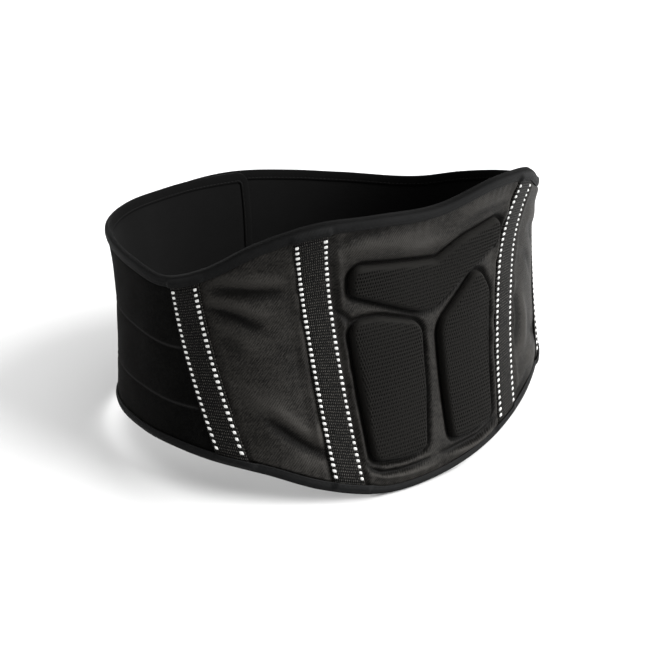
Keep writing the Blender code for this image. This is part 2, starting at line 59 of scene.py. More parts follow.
# The belt's own sizes, as its solids have them.
WAIST_WIDTH = 0.320
WAIST_BACK_DEPTH = 0.0977
WAIST_FRONT_DEPTH = 0.1219
WAIST_SQUARENESS = 2.31
FLARE_RISE = 0.060
FLARE_DROP = 0.100
TOP_FLARES = (0.0147, 0.0072, 0.0080)
LOWER_FLARES = (0.0090, 0.0069, 0.0068)
BACK_RISE = 0.0600
SIDE_RISE = 0.0300
FRONT_RISE = 0.0390
BACK_DROP = 0.1290
SIDE_DROP = 0.0850
FRONT_DROP = 0.0863
REST_FLATTENING = 0.0009
BELT_SHIFT = (-0.0000807, 0.0020640)

BACK_WALL = 0.0045
WING_WALL = 0.0032
WALL_EASE = 0.020
TAPE_THICKNESS = 0.0010
TAPE_WIDTH = 0.0075
WING_CORNER = 0.0095
EDGE_GAP = 0.0003
LAID_GAP = 0.0005
TAPE_REACH = TAPE_THICKNESS + LAID_GAP
RIM_REACH = TAPE_THICKNESS + EDGE_GAP
LEFT_WING_PAST_FRONT = 0.0032
RIGHT_WING_PAST_FRONT = 0.0920
LAP_STEP = WING_WALL + 2.0 * TAPE_REACH + 0.0008
LAP_EASE = 0.0720
LAP_EASE_MARGIN = 0.0110
PATCH_MARGIN = TAPE_WIDTH + 0.006

STRIP_WIDTH = 0.0200
STRIP_THICKNESS = 0.0014
Strip = namedtuple("Strip", "node top foot bend half column")
OUTER_STRIP = Strip("outer_left_strip", 0.1670, 0.1405, 1.6, 0.0100, 0.0076)
INNER_STRIP = Strip("inner_left_strip", 0.0880, 0.0692, 1.0, 0.0106, 0.0086)
STRIPS = (
    OUTER_STRIP,
    INNER_STRIP._replace(top=0.0893, foot=0.0688, bend=1.15),
    INNER_STRIP._replace(node="inner_right_strip", top=-0.0866, foot=-0.0682, bend=1.1),
    OUTER_STRIP._replace(node="outer_right_strip", top=-0.1670, foot=-0.1405),
)

# The edges' heights above the waist line, by share of the half girth from the spine.
EdgeRow = namedtuple("EdgeRow", "around size share")
UPPER_EDGE = (
    EdgeRow(-1.23, FRONT_RISE, 0.98),
    EdgeRow(-1.00, FRONT_RISE, 1.03),
    EdgeRow(-0.89, FRONT_RISE, 0.86),
    EdgeRow(-0.80, FRONT_RISE, 0.70),
    EdgeRow(-0.64, SIDE_RISE, 0.74),
    EdgeRow(-0.57, SIDE_RISE, 0.94),
    EdgeRow(-0.48, SIDE_RISE, 1.18),
    EdgeRow(-0.35, SIDE_RISE, 1.46),
    EdgeRow(-0.28, BACK_RISE, 0.86),
    EdgeRow(-0.20, BACK_RISE, 1.10),
    EdgeRow(-0.11, BACK_RISE, 1.15),
    EdgeRow(0.00, BACK_RISE, 0.99),
    EdgeRow(0.11, BACK_RISE, 1.02),
    EdgeRow(0.20, BACK_RISE, 1.02),
    EdgeRow(0.28, BACK_RISE, 0.845),
    EdgeRow(0.35, SIDE_RISE, 1.17),
    EdgeRow(0.41, SIDE_RISE, 0.93),
    EdgeRow(0.48, SIDE_RISE, 1.09),
    EdgeRow(0.57, SIDE_RISE, 1.31),
    EdgeRow(0.64, SIDE_RISE, 1.40),
    EdgeRow(0.73, FRONT_RISE, 1.11),
    EdgeRow(0.80, FRONT_RISE, 1.08),
    EdgeRow(0.89, FRONT_RISE, 1.065),
    EdgeRow(1.04, FRONT_RISE, 0.99),
)
LOWER_EDGE = (
    EdgeRow(-1.23, FRONT_DROP, -1.00),
    EdgeRow(-0.60, FRONT_DROP, -1.00),
    EdgeRow(-0.41, SIDE_DROP, -1.04),
    EdgeRow(-0.35, SIDE_DROP, -1.09),
    EdgeRow(-0.28, BACK_DROP, -0.765),
    EdgeRow(-0.20, BACK_DROP, -0.85),
    EdgeRow(-0.11, BACK_DROP, -0.94),
    EdgeRow(0.00, BACK_DROP, -1.00),
    EdgeRow(0.11, BACK_DROP, -0.99),
    EdgeRow(0.20, BACK_DROP, -0.90),
    EdgeRow(0.28, BACK_DROP, -0.785),
    EdgeRow(0.35, SIDE_DROP, -1.09),
    EdgeRow(0.41, SIDE_DROP, -1.025),
    EdgeRow(0.48, SIDE_DROP, -1.00),
    EdgeRow(0.60, SIDE_DROP, -0.99),
    EdgeRow(0.80, FRONT_DROP, -0.955),
    EdgeRow(1.04, FRONT_DROP, -0.95),
)

# The pads' corners in order round each outline: shares of the field between the inner strips, whose
# width narrows towards its foot, and the corner's radius in shares of PAD_CORNER.
PAD_FIELD_WIDTH = 0.140
PAD_FIELD_FOOT_WIDTH = 0.1024
PAD_FIELD_TOP = 0.040
PAD_FIELD_HEIGHT = 0.150
PAD_CORNER = 0.0090
CORNER_LIMIT = 0.45
Corner = namedtuple("Corner", "around down radius")
PADS = {
    "upper_pad": (
        Corner(0.007, 0.376, 3.0),
        Corner(0.465, 0.203, 0.9),
        Corner(0.454, 0.068, 1.0),
        Corner(-0.037, 0.128, 0.8),
        Corner(-0.200, 0.056, 6.0),
        Corner(-0.464, 0.002, 1.2),
        Corner(-0.494, 0.133, 0.9),
    ),
    "lower_left_pad": (
        Corner(0.493, 0.323, 1.0),
        Corner(0.314, 0.327, 4.0),
        Corner(0.048, 0.400, 1.4),
        Corner(0.048, 0.707, 9.0),
        Corner(0.098, 0.985, 0.8),
        Corner(0.282, 0.991, 6.0),
        Corner(0.498, 0.970, 0.9),
    ),
    "lower_right_pad": (
        Corner(-0.068, 0.440, 1.8),
        Corner(-0.362, 0.223, 0.9),
        Corner(-0.468, 0.352, 2.0),
        Corner(-0.488, 0.963, 1.0),
        Corner(-0.244, 0.990, 6.0),
        Corner(-0.106, 0.987, 0.7),
    ),
}

# The satin's creases: the line that each follows (around, height), its half width and its depth, in
# millimetres. A crease stands out where its depth is below nought.
Crease = namedtuple("Crease", "line half_width depth")
CREASES = (
    Crease(((152, 22), (132, 20.5), (104, 18)), 3.6, 1.7),
    Crease(((154, 30), (130, 28), (100, 25)), 5.0, -1.2),
    Crease(((154, 10), (135, 4), (119, -7)), 3.2, 1.5),
    Crease(((156, 16), (136, 11), (112, 3)), 4.0, -1.2),
    Crease(((148, -2), (134, -10), (122, -22)), 5.0, -0.6),
    Crease(((122, -62), (103, -80), (92, -89), (79, -96)), 3.2, 1.7),
    Crease(((118, -54), (97, -75), (80, -86)), 4.2, -1.1),
    Crease(((106, -90), (92, -99), (77, -103)), 4.5, -0.6),
    Crease(((136, -44), (118, -58), (106, -64)), 8.0, -0.6),
    Crease(
        ((59, -103), (54, -109.5), (46.5, -114), (31.5, -116), (19.5, -115.8), (6, -114.6)), 1.7, 2.2
    ),
    Crease(((57, -111), (44.5, -117.4), (31, -119.5), (12, -120.4), (2, -120)), 1.9, -1.3),
    Crease(((52, -106), (44, -110.6), (28, -112), (10, -111.4)), 1.6, -0.8),
    Crease(((0, -114.6), (-21, -114.3), (-34.4, -113.7), (-45, -111.3), (-58, -106)), 2.1, 2.8),
    Crease(((-13, -110.6), (-35, -109.6), (-47, -106.8)), 1.4, -0.9),
    Crease(((-6, -118.2), (-24, -118.3), (-37, -116.8), (-54, -113)), 1.9, -1.5),
    Crease(((70, 40), (52, 43), (27, 41), (0, 43)), 5.5, -1.2),
    Crease(((-14, 48), (-34, 52), (-62, 53)), 5.5, -0.9),
    Crease(((74, 4), (61.5, -8), (48, -13)), 2.2, 1.5),
    Crease(((-94, -24), (-97, -48), (-90, -70)), 4.0, 1.3),
    Crease(((-104, -28), (-108, -50), (-101, -74)), 5.0, -1.1),
    Crease(((-72, -101), (-92, -99), (-108, -90)), 3.4, 1.1),
    Crease(((-112, 18), (-128, 12), (-142, -2)), 4.2, 1.1),
    Crease(((-110, 28), (-130, 23), (-146, 10)), 5.5, -0.9),
    Crease(((-112, -58), (-124, -66), (-136, -70)), 4.5, 0.9),
    Crease(((8, 20), (-6, 17), (-16, 21)), 4.0, 0.7),
    Crease(((9, -24), (2, -34), (1, -48)), 2.4, -0.4),
    Crease(((75, -20), (68, -34), (66, -52)), 3.0, -0.8),
    Crease(((78, -42), (72, -66), (70, -88)), 2.6, 0.9),
    Crease(((88, -70), (84, -84), (79, -90)), 2.2, -0.9),
    Crease(((78, 44), (60, 50), (36, 51)), 4.0, 0.9),
    Crease(((30, 36), (8, 34), (-14, 36)), 4.0, -0.9),
    Crease(((-30, 44), (-50, 47), (-72, 46)), 3.6, 0.8),
    Crease(((-106, 0), (-118, -6), (-132, -24)), 4.0, 0.9),
    Crease(((-104, -80), (-116, -84), (-130, -80)), 4.0, -0.9),
)

# The wings' two sewn seams, the half widths of their ridges and of the hollows round them, all in
# shares of the wing's height from its lower edge, and the hollows' depth.
WING_SEAMS = (0.26, 0.595)
SEAM_RIDGE = 0.0065
SEAM_HOLLOW = 0.022
SEAM_HOLLOW_DEPTH = 0.0004

# The height of the wings' slow swells, and how far past strip and tape seams and swells ease in.
WING_SWELL = 0.0004
WING_EASE = 0.004

# The arithmetic's own steps.
RING_STEPS = 8000
SLOPE_STEP = 0.002
SETTLING_PASSES = 12
MILLIMETRE = 0.001

# How far the tape draws each face in at an edge, how far in from the edge that reaches, and what
# share of its outer leg's reach the tape's inner leg keeps.
EDGE_PINCH = 0.00145
PINCH_WIDTH = 0.0120
INNER_TAPE_SHARE = 0.48

# The share of the tape's width that shows on the outer face, the same under the pads, and how far
# from the spine the pads' share holds before it eases back.
TAPE_SHOWN = 0.80
TAPE_SHOWN_UNDER_PADS = 0.56
PAD_SPAN = 0.046
PAD_SPAN_EASE = 0.012

# Where the tape's stitches lie in from the edge and how far they are sunk into the tape, and how
# much further out the tape lies over a strip's end.
STITCH_PLACE = 0.0061
STITCH_SINK = 0.00030
OVER_STRIP = STRIP_THICKNESS + 0.0003

# How far in from the edges the strips' ends lie, under the tape, the distance between a strip's ribs,
# and the least thickness of a laid piece.
STRIP_END = 0.0028
STRIP_RIB = 0.00205
LEAST_WALL = 0.0003

# How far and how wide the cloth rolls in where the cover and a wing meet under an outer strip, and
# how far from that line each stays, which is also how far the wings' faces lie below the cover's.
JOINT_ROLL = 0.0006
JOINT_ROLL_WIDTH = 0.0012
JOINT_GAP = 0.0001

# The pads' mesh: its slits' columns and rows, an ellipse's half sizes in shares of a cell and its
# lean, and where the slit's edge begins and ends in shares of those half sizes.
MESH_COLUMN = 1.85
MESH_ROW = 2.60
SLIT_HALF_WIDTH = 0.24
SLIT_HALF_LENGTH = 0.36
SLIT_LEAN = 0.30
SLIT_EDGE = (0.65, 1.15)

# The camera, found by fitting the belt's own outline and seams to the picture: its direction from the
# waist ring's middle, its distance, its roll, its lens and the picture's crop.
CAMERA_AROUND = 0.6479
CAMERA_ABOVE = 0.3114
CAMERA_ROLL = 0.0286
CAMERA_DISTANCE = 0.9369
CAMERA_FOCUS = 1309.06
CAMERA_CROP = (4.035, -75.80)
SENSOR_WIDTH = 36.0
FLOOR_HALF = 30.0


def ease(share):
    """A smooth step: three times the square less twice the cube, held between 0 and 1."""
    share = np.clip(share, 0.0, 1.0)
    return share * share * (3.0 - 2.0 * share)


def waist_line():
    """Twice round the waist: two half superellipses that meet at the sides.

    x is the half width and y the depth times the sine and cosine of the angle, each raised to 2 over
    the squareness. The last array is the length along the line from the spine."""
    angle = np.linspace(-2.0 * math.pi, 2.0 * math.pi, 2 * RING_STEPS + 1)
    depth = np.where(np.cos(angle) > 0.0, WAIST_BACK_DEPTH, WAIST_FRONT_DEPTH)
    power = 2.0 / WAIST_SQUARENESS
    x = -0.5 * WAIST_WIDTH * np.sign(np.sin(angle)) * np.abs(np.sin(angle)) ** power
    y = -depth * np.sign(np.cos(angle)) * np.abs(np.cos(angle)) ** power
    along = np.concatenate([[0.0], np.cumsum(np.hypot(np.diff(x), np.diff(y)))])
    return angle, x, y, along - along[RING_STEPS]


ANGLES, LINE_X, LINE_Y, ALONG = waist_line()
TANGENT_X = np.gradient(LINE_X, ALONG)
TANGENT_Y = np.gradient(LINE_Y, ALONG)
HALF_GIRTH = float(np.interp(math.pi, ANGLES, ALONG))
LEFT_END = HALF_GIRTH + LEFT_WING_PAST_FRONT
RIGHT_END = -(HALF_GIRTH + RIGHT_WING_PAST_FRONT)
LAP_EASE_END = HALF_GIRTH - RIGHT_WING_PAST_FRONT - LAP_EASE_MARGIN


def smooth_curve(at, knots, values):
    """A cubic through the knots. Each knot's slope is the central difference of its neighbours."""
    slopes = np.gradient(values, knots)
    at = np.clip(at, knots[0], knots[-1])
    part = np.clip(np.searchsorted(knots, at, side="right") - 1, 0, len(knots) - 2)
    span = knots[part + 1] - knots[part]
    t = (at - knots[part]) / span
    rise = values[part + 1] - values[part]
    bend_in = slopes[part] * span - rise
    bend_out = rise - slopes[part + 1] * span
    return values[part] + t * rise + t * (1.0 - t) * (bend_in * (1.0 - t) + bend_out * t)


def edge_height(around, rows):
    """The edge's height above the waist line: the smooth curve through its rows."""
    knots = np.array([row.around * HALF_GIRTH for row in rows])
    return smooth_curve(around, knots, np.array([row.size * row.share for row in rows]))


def upper_edge(around):
    """The upper edge's height."""
    return edge_height(around, UPPER_EDGE)


def lower_edge(around):
    """The lower edge's height."""
    return edge_height(around, LOWER_EDGE)


def edge_stretch(edge, around):
    """An edge's length over its length around the belt: one over the cosine of its slope."""
    slope = (edge(around + SLOPE_STEP) - edge(around - SLOPE_STEP)) / (2.0 * SLOPE_STEP)
    return np.sqrt(1.0 + slope**2)


def in_from_edges(around, distance):
    """The heights of the lines at a distance in from the lower edge and from the upper one."""
    low = lower_edge(around) + distance * edge_stretch(lower_edge, around)
    return low, upper_edge(around) - distance * edge_stretch(upper_edge, around)


def from_edges(around, height):
    """The distance to the nearer edge, and which one it is: 1 for the upper, -1 for the lower."""
    above = (upper_edge(around) - height) / edge_stretch(upper_edge, around)
    below = (height - lower_edge(around)) / edge_stretch(lower_edge, around)
    return np.minimum(above, below), np.where(above < below, 1.0, -1.0)


def flare(angle, height):
    """How far the wall leans out: a parabola in the height, whose rate turns with the cosine squared."""
    facing = np.cos(angle) ** 2
    behind = np.cos(angle) > 0.0
    top = np.where(behind, TOP_FLARES[0], TOP_FLARES[2]) * facing + TOP_FLARES[1] * (1.0 - facing)
    low = np.where(behind, LOWER_FLARES[0], LOWER_FLARES[2]) * facing + LOWER_FLARES[1] * (1.0 - facing)
    rate = np.where(height > 0.0, top / FLARE_RISE**2, low / FLARE_DROP**2)
    return rate * height**2, 2.0 * rate * height


def lap(around):
    """How far in the left wing lies, to run inside the right one: a smooth step round the front."""
    return LAP_STEP * ease((around - LAP_EASE_END) / LAP_EASE + 1.0)


def upright(around, height, outward):
    """The flat layout bent round the waist line: the line's point, pushed out along the line's own
    gradient by the flare, and then along the leaning wall's normal by the outward distance."""
    angle = np.interp(around, ALONG, ANGLES)
    x = np.interp(around, ALONG, LINE_X)
    y = np.interp(around, ALONG, LINE_Y)
    depth = np.where(np.cos(angle) > 0.0, WAIST_BACK_DEPTH, WAIST_FRONT_DEPTH)
    lean_x = x / (0.5 * WAIST_WIDTH) ** 2
    lean_y = y / depth**2
    lean = np.hypot(lean_x, lean_y)
    reach, slope = flare(angle, height)
    out = (outward - lap(around)) / np.sqrt(1.0 + slope**2)
    tangent_x = np.interp(around, ALONG, TANGENT_X)
    tangent_y = np.interp(around, ALONG, TANGENT_Y)
    tangent = np.hypot(tangent_x, tangent_y)
    return np.stack(
        [
            x + lean_x / lean * reach - tangent_y / tangent * out,
            y + lean_y / lean * reach + tangent_x / tangent * out,
            height - slope * out,
        ],
        axis=-1,
    )


def resting_pose():
    """The turn about X that brings the back's and the front's lowest points level, and their height."""
    around = np.linspace(RIGHT_END, LEFT_END, RING_STEPS)
    rim = np.concatenate(
        [upright(around, lower_edge(around), out) for out in (TAPE_REACH, -WING_WALL - TAPE_REACH)]
    )
    turn = 0.0
    for _ in range(SETTLING_PASSES):
        level = rim[:, 2] * math.cos(turn) - rim[:, 1] * math.sin(turn)
        back = np.where(rim[:, 1] < 0.0, level, np.inf).argmin()
        front = np.where(rim[:, 1] > 0.0, level, np.inf).argmin()
        run = rim[front] - rim[back]
        turn = math.atan2(run[2], run[1])
    level = rim[:, 2] * math.cos(turn) - rim[:, 1] * math.sin(turn)
    return turn, float(level.min()) + REST_FLATTENING


REST_TURN, REST_LEVEL = resting_pose()


def settled(points):
    """The standing belt's place of points on the upright one: turned about X, lowered and shifted."""
    y = points[..., 1] * math.cos(REST_TURN) + points[..., 2] * math.sin(REST_TURN)
    z = points[..., 2] * math.cos(REST_TURN) - points[..., 1] * math.sin(REST_TURN) - REST_LEVEL
    return np.stack([points[..., 0] + BELT_SHIFT[0], y + BELT_SHIFT[1], z], axis=-1)


def on_belt(around, height, outward, clear=0.0):
    """The flat layout on the standing belt, pressed flat where it would reach under the floor."""
    around, height, outward = np.broadcast_arrays(around, height, outward)
    points = settled(upright(around, height, outward))
    points[..., 2] = np.maximum(points[..., 2], clear)
    return points


def strip_middle(strip, down):
    """A strip's middle line: it moves from its top to its foot with a power of the way down."""
    return strip.top + (strip.foot - strip.top) * np.clip(down, 0.0, 1.0) ** strip.bend


def tape_shown(around, side):
    """The width of the tape on the outer face: TAPE_SHOWN of it, eased to TAPE_SHOWN_UNDER_PADS at the
    lower edge under the pads, where the satin bulges over it. side is below nought at that edge."""
    under = (1.0 - ease((np.abs(around) - PAD_SPAN) / PAD_SPAN_EASE)) * np.where(side < 0.0, 1.0, 0.0)
    return TAPE_WIDTH * (TAPE_SHOWN + (TAPE_SHOWN_UNDER_PADS - TAPE_SHOWN) * under)


def drawn_in(distance):
    """How far the tape draws each face in at a distance from an edge: EDGE_PINCH times the square of the
    share of PINCH_WIDTH that is left over."""
    return EDGE_PINCH * (1.0 - np.clip(distance / PINCH_WIDTH, 0.0, 1.0)) ** 2


def share_down(around, height):
    """0 at the upper edge and 1 at the lower edge."""
    high = upper_edge(around)
    return (high - height) / (high - lower_edge(around))


def turned(arm, angle):
    """A flat vector turned by an angle."""
    sine, cosine = math.sin(angle), math.cos(angle)
    return np.array([arm[0] * cosine - arm[1] * sine, arm[0] * sine + arm[1] * cosine])


def pad_outline(corners, count):
    """Points at even steps round a pad: straight lines between its corners, and an arc at each corner
    that touches both lines."""
    width = [PAD_FIELD_WIDTH + (PAD_FIELD_FOOT_WIDTH - PAD_FIELD_WIDTH) * c.down for c in corners]
    places = np.array(
        [(c.around * w, PAD_FIELD_TOP - c.down * PAD_FIELD_HEIGHT) for c, w in zip(corners, width)]
    )
    run = []
    for index, corner in enumerate(corners):
        here = places[index]
        before = places[index - 1] - here
        after = places[(index + 1) % len(corners)] - here
        limit = CORNER_LIMIT * min(math.hypot(*before), math.hypot(*after))
        before = before / math.hypot(*before)
        after = after / math.hypot(*after)
        half = 0.5 * math.acos(float(np.clip(before @ after, -1.0, 1.0)))
        reach = min(corner.radius * PAD_CORNER / math.tan(half), limit)
        radius = reach * math.tan(half)
        bisector = (before + after) / math.hypot(*(before + after))
        centre = here + bisector * radius / math.sin(half)
        first = here + before * reach - centre
        last = here + after * reach - centre
        swing = math.atan2(first[0] * last[1] - first[1] * last[0], first @ last)
        run += [centre + turned(first, turn) for turn in np.linspace(0.0, swing, 15)]
    run = np.array(run + run[:1])
    length = np.concatenate([[0.0], np.cumsum(np.hypot(*np.diff(run, axis=0).T))])
    at = np.linspace(0.0, length[-1], count + 1)
    return np.column_stack([np.interp(at, length, run[:, 0]), np.interp(at, length, run[:, 1])])


OUTLINES = {name: pad_outline(corners, 260) for name, corners in PADS.items()}


def line_distance(around, height, line):
    """The distance from each point to a broken line, and how far along it the nearest place is, from
    0 to 1."""
    lengths = np.hypot(*np.diff(line, axis=0).T)
    reached = np.concatenate([[0.0], np.cumsum(lengths)]) / lengths.sum()
    best = np.full(np.shape(around), np.inf)
    along = np.zeros(np.shape(around))
    for index, length in enumerate(lengths):
        start = line[index]
        run = line[index + 1] - start
        share = ((around - start[0]) * run[0] + (height - start[1]) * run[1]) / length**2
        share = np.clip(share, 0.0, 1.0)
        gap = np.hypot(around - start[0] - share * run[0], height - start[1] - share * run[1])
        nearer = gap < best
        best = np.where(nearer, gap, best)
        along = np.where(nearer, reached[index] + share * (reached[index + 1] - reached[index]), along)
    return best, along


def outline_distance(around, height, outline):
    """The distance to a closed outline, below nought inside: a point is inside when a level line from
    it crosses the outline an odd number of times."""
    gap, _ = line_distance(around, height, outline)
    inside = np.zeros(np.shape(around), bool)
    for first, last in zip(outline[:-1], outline[1:]):
        spans = (first[1] > height) != (last[1] > height)
        rise = last[1] - first[1] if last[1] != first[1] else 1.0
        inside ^= spans & (around < first[0] + (height - first[1]) / rise * (last[0] - first[0]))
    return np.where(inside, -gap, gap)


def bell(distance, width):
    """A Gauss bell: e to the power of minus the square of the distance over the width."""
    return np.exp(-((distance / width) ** 2))


def crease_depth(around, height):
    """All creases together: each a bell across its line, fading in and out along it by a sine."""
    total = np.zeros(np.shape(around))
    for crease in CREASES:
        line = np.array(crease.line) * MILLIMETRE
        gap, along = line_distance(around, height, line)
        fade = np.sin(math.pi * np.clip(along, 0.02, 0.98)) ** 0.7
        total = total - crease.depth * MILLIMETRE * fade * bell(gap, crease.half_width * MILLIMETRE)
    return total


def slack(around, height):
    """The cloth's slow swells: two products and one term of three bent sines, 37 to 71 mm long."""
    a = np.sin(around / 0.0091 + 1.3 * np.sin(height / 0.017))
    b = np.sin(height / 0.0113 - around / 0.021 + 0.7)
    c = np.sin((around + height) / 0.0059 + 2.1 * np.sin(around / 0.031))
    return 0.5 * a * b + 0.35 * c * b + 0.15 * a


def gathers(around, reach):
    """The little puckers where the tape draws the cloth in: a broken sine along the edge, whose height
    dies away exponentially with the reach from the tape."""
    wave = np.sin(around / 0.00125 + 2.0 * np.sin(around / 0.0083))
    wave = wave * (0.6 + 0.4 * np.sin(around / 0.0127))
    reach = np.clip(reach, 0.0, None)
    return wave * np.exp(-reach / 0.0055) * ease(reach / 0.0015)


def cover_relief(around, height, sizes):
    """How far the satin stands out: puffed fields between the strips, a moat and a soft wall round
    each pad, creases, gathers and slow swells, all brought to nought under the tape.

    It also returns painted shading of the folds for the material: 0.5 on plain cloth, painted shade in
    creases and beside the pads, and painted highlight on ridges."""
    distance, side = from_edges(around, height)
    reach = distance - tape_shown(around, side)
    level = share_down(around, height)
    inner = strip_middle(INNER_STRIP, level)
    outer = strip_middle(OUTER_STRIP, level)
    across = np.clip((np.abs(around) - inner) / (outer - inner), 0.0, 1.0)
    total = sizes.field_puff * np.sin(math.pi * across) ** 1.2
    total = total + sizes.swell * slack(around, height) * ease((np.abs(around) - inner) / 0.02)
    gap = np.min([outline_distance(around, height, line) for line in OUTLINES.values()], axis=0)
    wall = ease((gap - 0.0012) / 0.0045) * (1.0 - ease((gap - 0.0075) / 0.014))
    moat = bell(np.maximum(gap - 0.0010, 0.0), 0.0015)
    total = total + sizes.pad_wall * wall - sizes.pad_moat * moat
    creases = crease_depth(around, height) * sizes.crease_share * (1.0 - moat)
    # Painted shading: the tone is darker in creases and in the groove beside the pads, as painted shade,
    # and lighter on ridges, as painted highlight.
    tone = np.clip(0.5 + 270.0 * creases - 0.6 * bell(np.maximum(gap - 0.0012, 0.0), 0.0024), 0.0, 1.0)
    total = total + creases + sizes.gather * gathers(around, reach)
    beside = np.abs(np.abs(around) - inner) - INNER_STRIP.half
    total = total * ease((beside + 0.0005) / 0.0045)
    joint = np.abs(np.abs(around) - outer) - OUTER_STRIP.half
    total = total * ease((joint + 0.0005) / 0.0045)
    puckers = 0.75 + 0.35 * np.sin(height / 0.0047 + 1.7 * np.sin(height / 0.013 + around / 0.02))
    off_pads = ease((gap - 0.001) / 0.003)
    total = total + sizes.strip_ridge * puckers * bell(beside - 0.0042, 0.0026) * off_pads
    total = total + 0.4 * sizes.strip_ridge * puckers * bell(joint - 0.0042, 0.0026)
    return total * ease((reach - 0.0001) / 0.0018) - 0.0002, tone


def graded(start, stop, step, finer=()):
    """Places from start to stop at about one step, with finer steps in the stated spans."""
    places = np.linspace(start, stop, max(2, int(round((stop - start) / step)) + 1))
    for low, high, small in finer:
        places = places[(places < low - 0.3 * step) | (places > high + 0.3 * step)]
        places = np.concatenate([places, np.linspace(low, high, int(round((high - low) / small)) + 1)])
    return np.sort(places)


def shell_faces(rows, columns):
    """The faces of a shell over two grids of points, the outer one first: the outer grid's, the inner
    one's, turned over, and the walls between their rims."""
    count = rows * columns
    index = np.arange(count).reshape(rows, columns)
    corners = [index[:-1, :-1], index[:-1, 1:], index[1:, 1:], index[1:, :-1]]
    quads = np.stack(corners, axis=-1).reshape(-1, 4)
    rim = np.concatenate([index[0, :-1], index[:-1, -1], index[-1, :0:-1], index[:0:-1, 0]])
    after = np.roll(rim, -1)
    return quads, quads[:, ::-1] + count, np.stack([rim, rim + count, after + count, after], axis=-1)


def closed_cloth(name, outer, inner, across, along):
    """A mesh from two grids of points, the outer face and the inner one, joined round their rims.

    across and along are each grid point's flat lengths, which become the UV map named cloth. Faces
    on the inner side take the second material."""
    faces = shell_faces(*outer.shape[:2])
    points = np.concatenate([outer.reshape(-1, 3), inner.reshape(-1, 3)])
    marks = np.concatenate([np.full(len(part), mark) for part, mark in zip(faces, (0, 1, 0))])
    flat = np.stack(np.broadcast_arrays(across, along), axis=-1).reshape(-1, 2)
    return mesh_piece(name, points, np.concatenate(faces), np.concatenate([flat, flat]), marks)


def mesh_piece(name, points, faces, flat, marks):
    """A named object from points and four-sided faces, turned so that its volume is above nought. flat
    is its UV map and marks its faces' materials."""
    corner = points[faces]
    cross = np.cross(corner[:, 2] - corner[:, 0], corner[:, 3] - corner[:, 1])
    if np.sum(corner.mean(axis=1) * cross) < 0.0:
        faces = faces[:, ::-1]
    mesh = bpy.data.meshes.new(name)
    mesh.vertices.add(len(points))
    mesh.vertices.foreach_set("co", points.astype(np.float32).ravel())
    mesh.loops.add(faces.size)
    mesh.loops.foreach_set("vertex_index", faces.astype(np.int32).ravel())
    mesh.polygons.add(len(faces))
    mesh.polygons.foreach_set("loop_start", np.arange(0, faces.size, faces.shape[1], dtype=np.int32))
    mesh.polygons.foreach_set("material_index", marks.astype(np.int32))
    layer = mesh.uv_layers.new(name="cloth")
    layer.data.foreach_set("uv", flat[faces.ravel()].astype(np.float32).ravel())
    mesh.update(calc_edges=True)
    mesh.validate()
    mesh.shade_smooth()
    piece = bpy.data.objects.new(name, mesh)
    belt_collection().objects.link(piece)
    return piece


def point_value(piece, name, outer, inner=None):
    """Keeps one number per point on the mesh for its material to read. The inner face has the outer
    face's numbers where it isn't given its own."""
    values = np.concatenate([outer.ravel(), (outer if inner is None else inner).ravel()])
    attribute = piece.data.attributes.new(name, "FLOAT", "POINT")
    attribute.data.foreach_set("value", values.astype(np.float32))


def dress(piece, slot, materials, *nodes):
    """Gives a piece its materials, lets it ride on the belt and stand for its solids."""
    for material in materials:
        piece.data.materials.append(material)
    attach(piece, "root")
    if nodes:
        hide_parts(*nodes)
    return piece


def belt_collection():
    """The collection that holds the belt's cloth."""
    found = bpy.data.collections.get("kidney_belt_cloth")
    if found is None:
        found = bpy.data.collections.new("kidney_belt_cloth")
        bpy.context.scene.collection.children.link(found)
    return found


class Number:
    """A value in a material. Each operator on it adds one Math node."""

    def __init__(self, cloth, socket):
        self.cloth = cloth
        self.socket = socket

    def __add__(self, other):
        return self.cloth.math("ADD", self, other)

    def __radd__(self, other):
        return self.cloth.math("ADD", other, self)

    def __sub__(self, other):
        return self.cloth.math("SUBTRACT", self, other)

    def __rsub__(self, other):
        return self.cloth.math("SUBTRACT", other, self)

    def __mul__(self, other):
        return self.cloth.math("MULTIPLY", self, other)

    def __rmul__(self, other):
        return self.cloth.math("MULTIPLY", other, self)

    def __truediv__(self, other):
        return self.cloth.math("DIVIDE", self, other)

    def __rtruediv__(self, other):
        return self.cloth.math("DIVIDE", other, self)

    def sine(self):
        return self.cloth.math("SINE", self)

    def fraction(self):
        return self.cloth.math("FRACT", self)

    def floor(self):
        return self.cloth.math("FLOOR", self)

    def root(self):
        return self.cloth.math("SQRT", self)

    def between(self, low, high):
        """0 at low and 1 at high, eased."""
        node = self.cloth.node(
            "ShaderNodeMapRange",
            {"interpolation_type": "SMOOTHSTEP", "clamp": True},
            {"Value": self, "From Min": low, "From Max": high, "To Min": 0.0, "To Max": 1.0},
        )
        return Number(self.cloth, node.outputs["Result"])


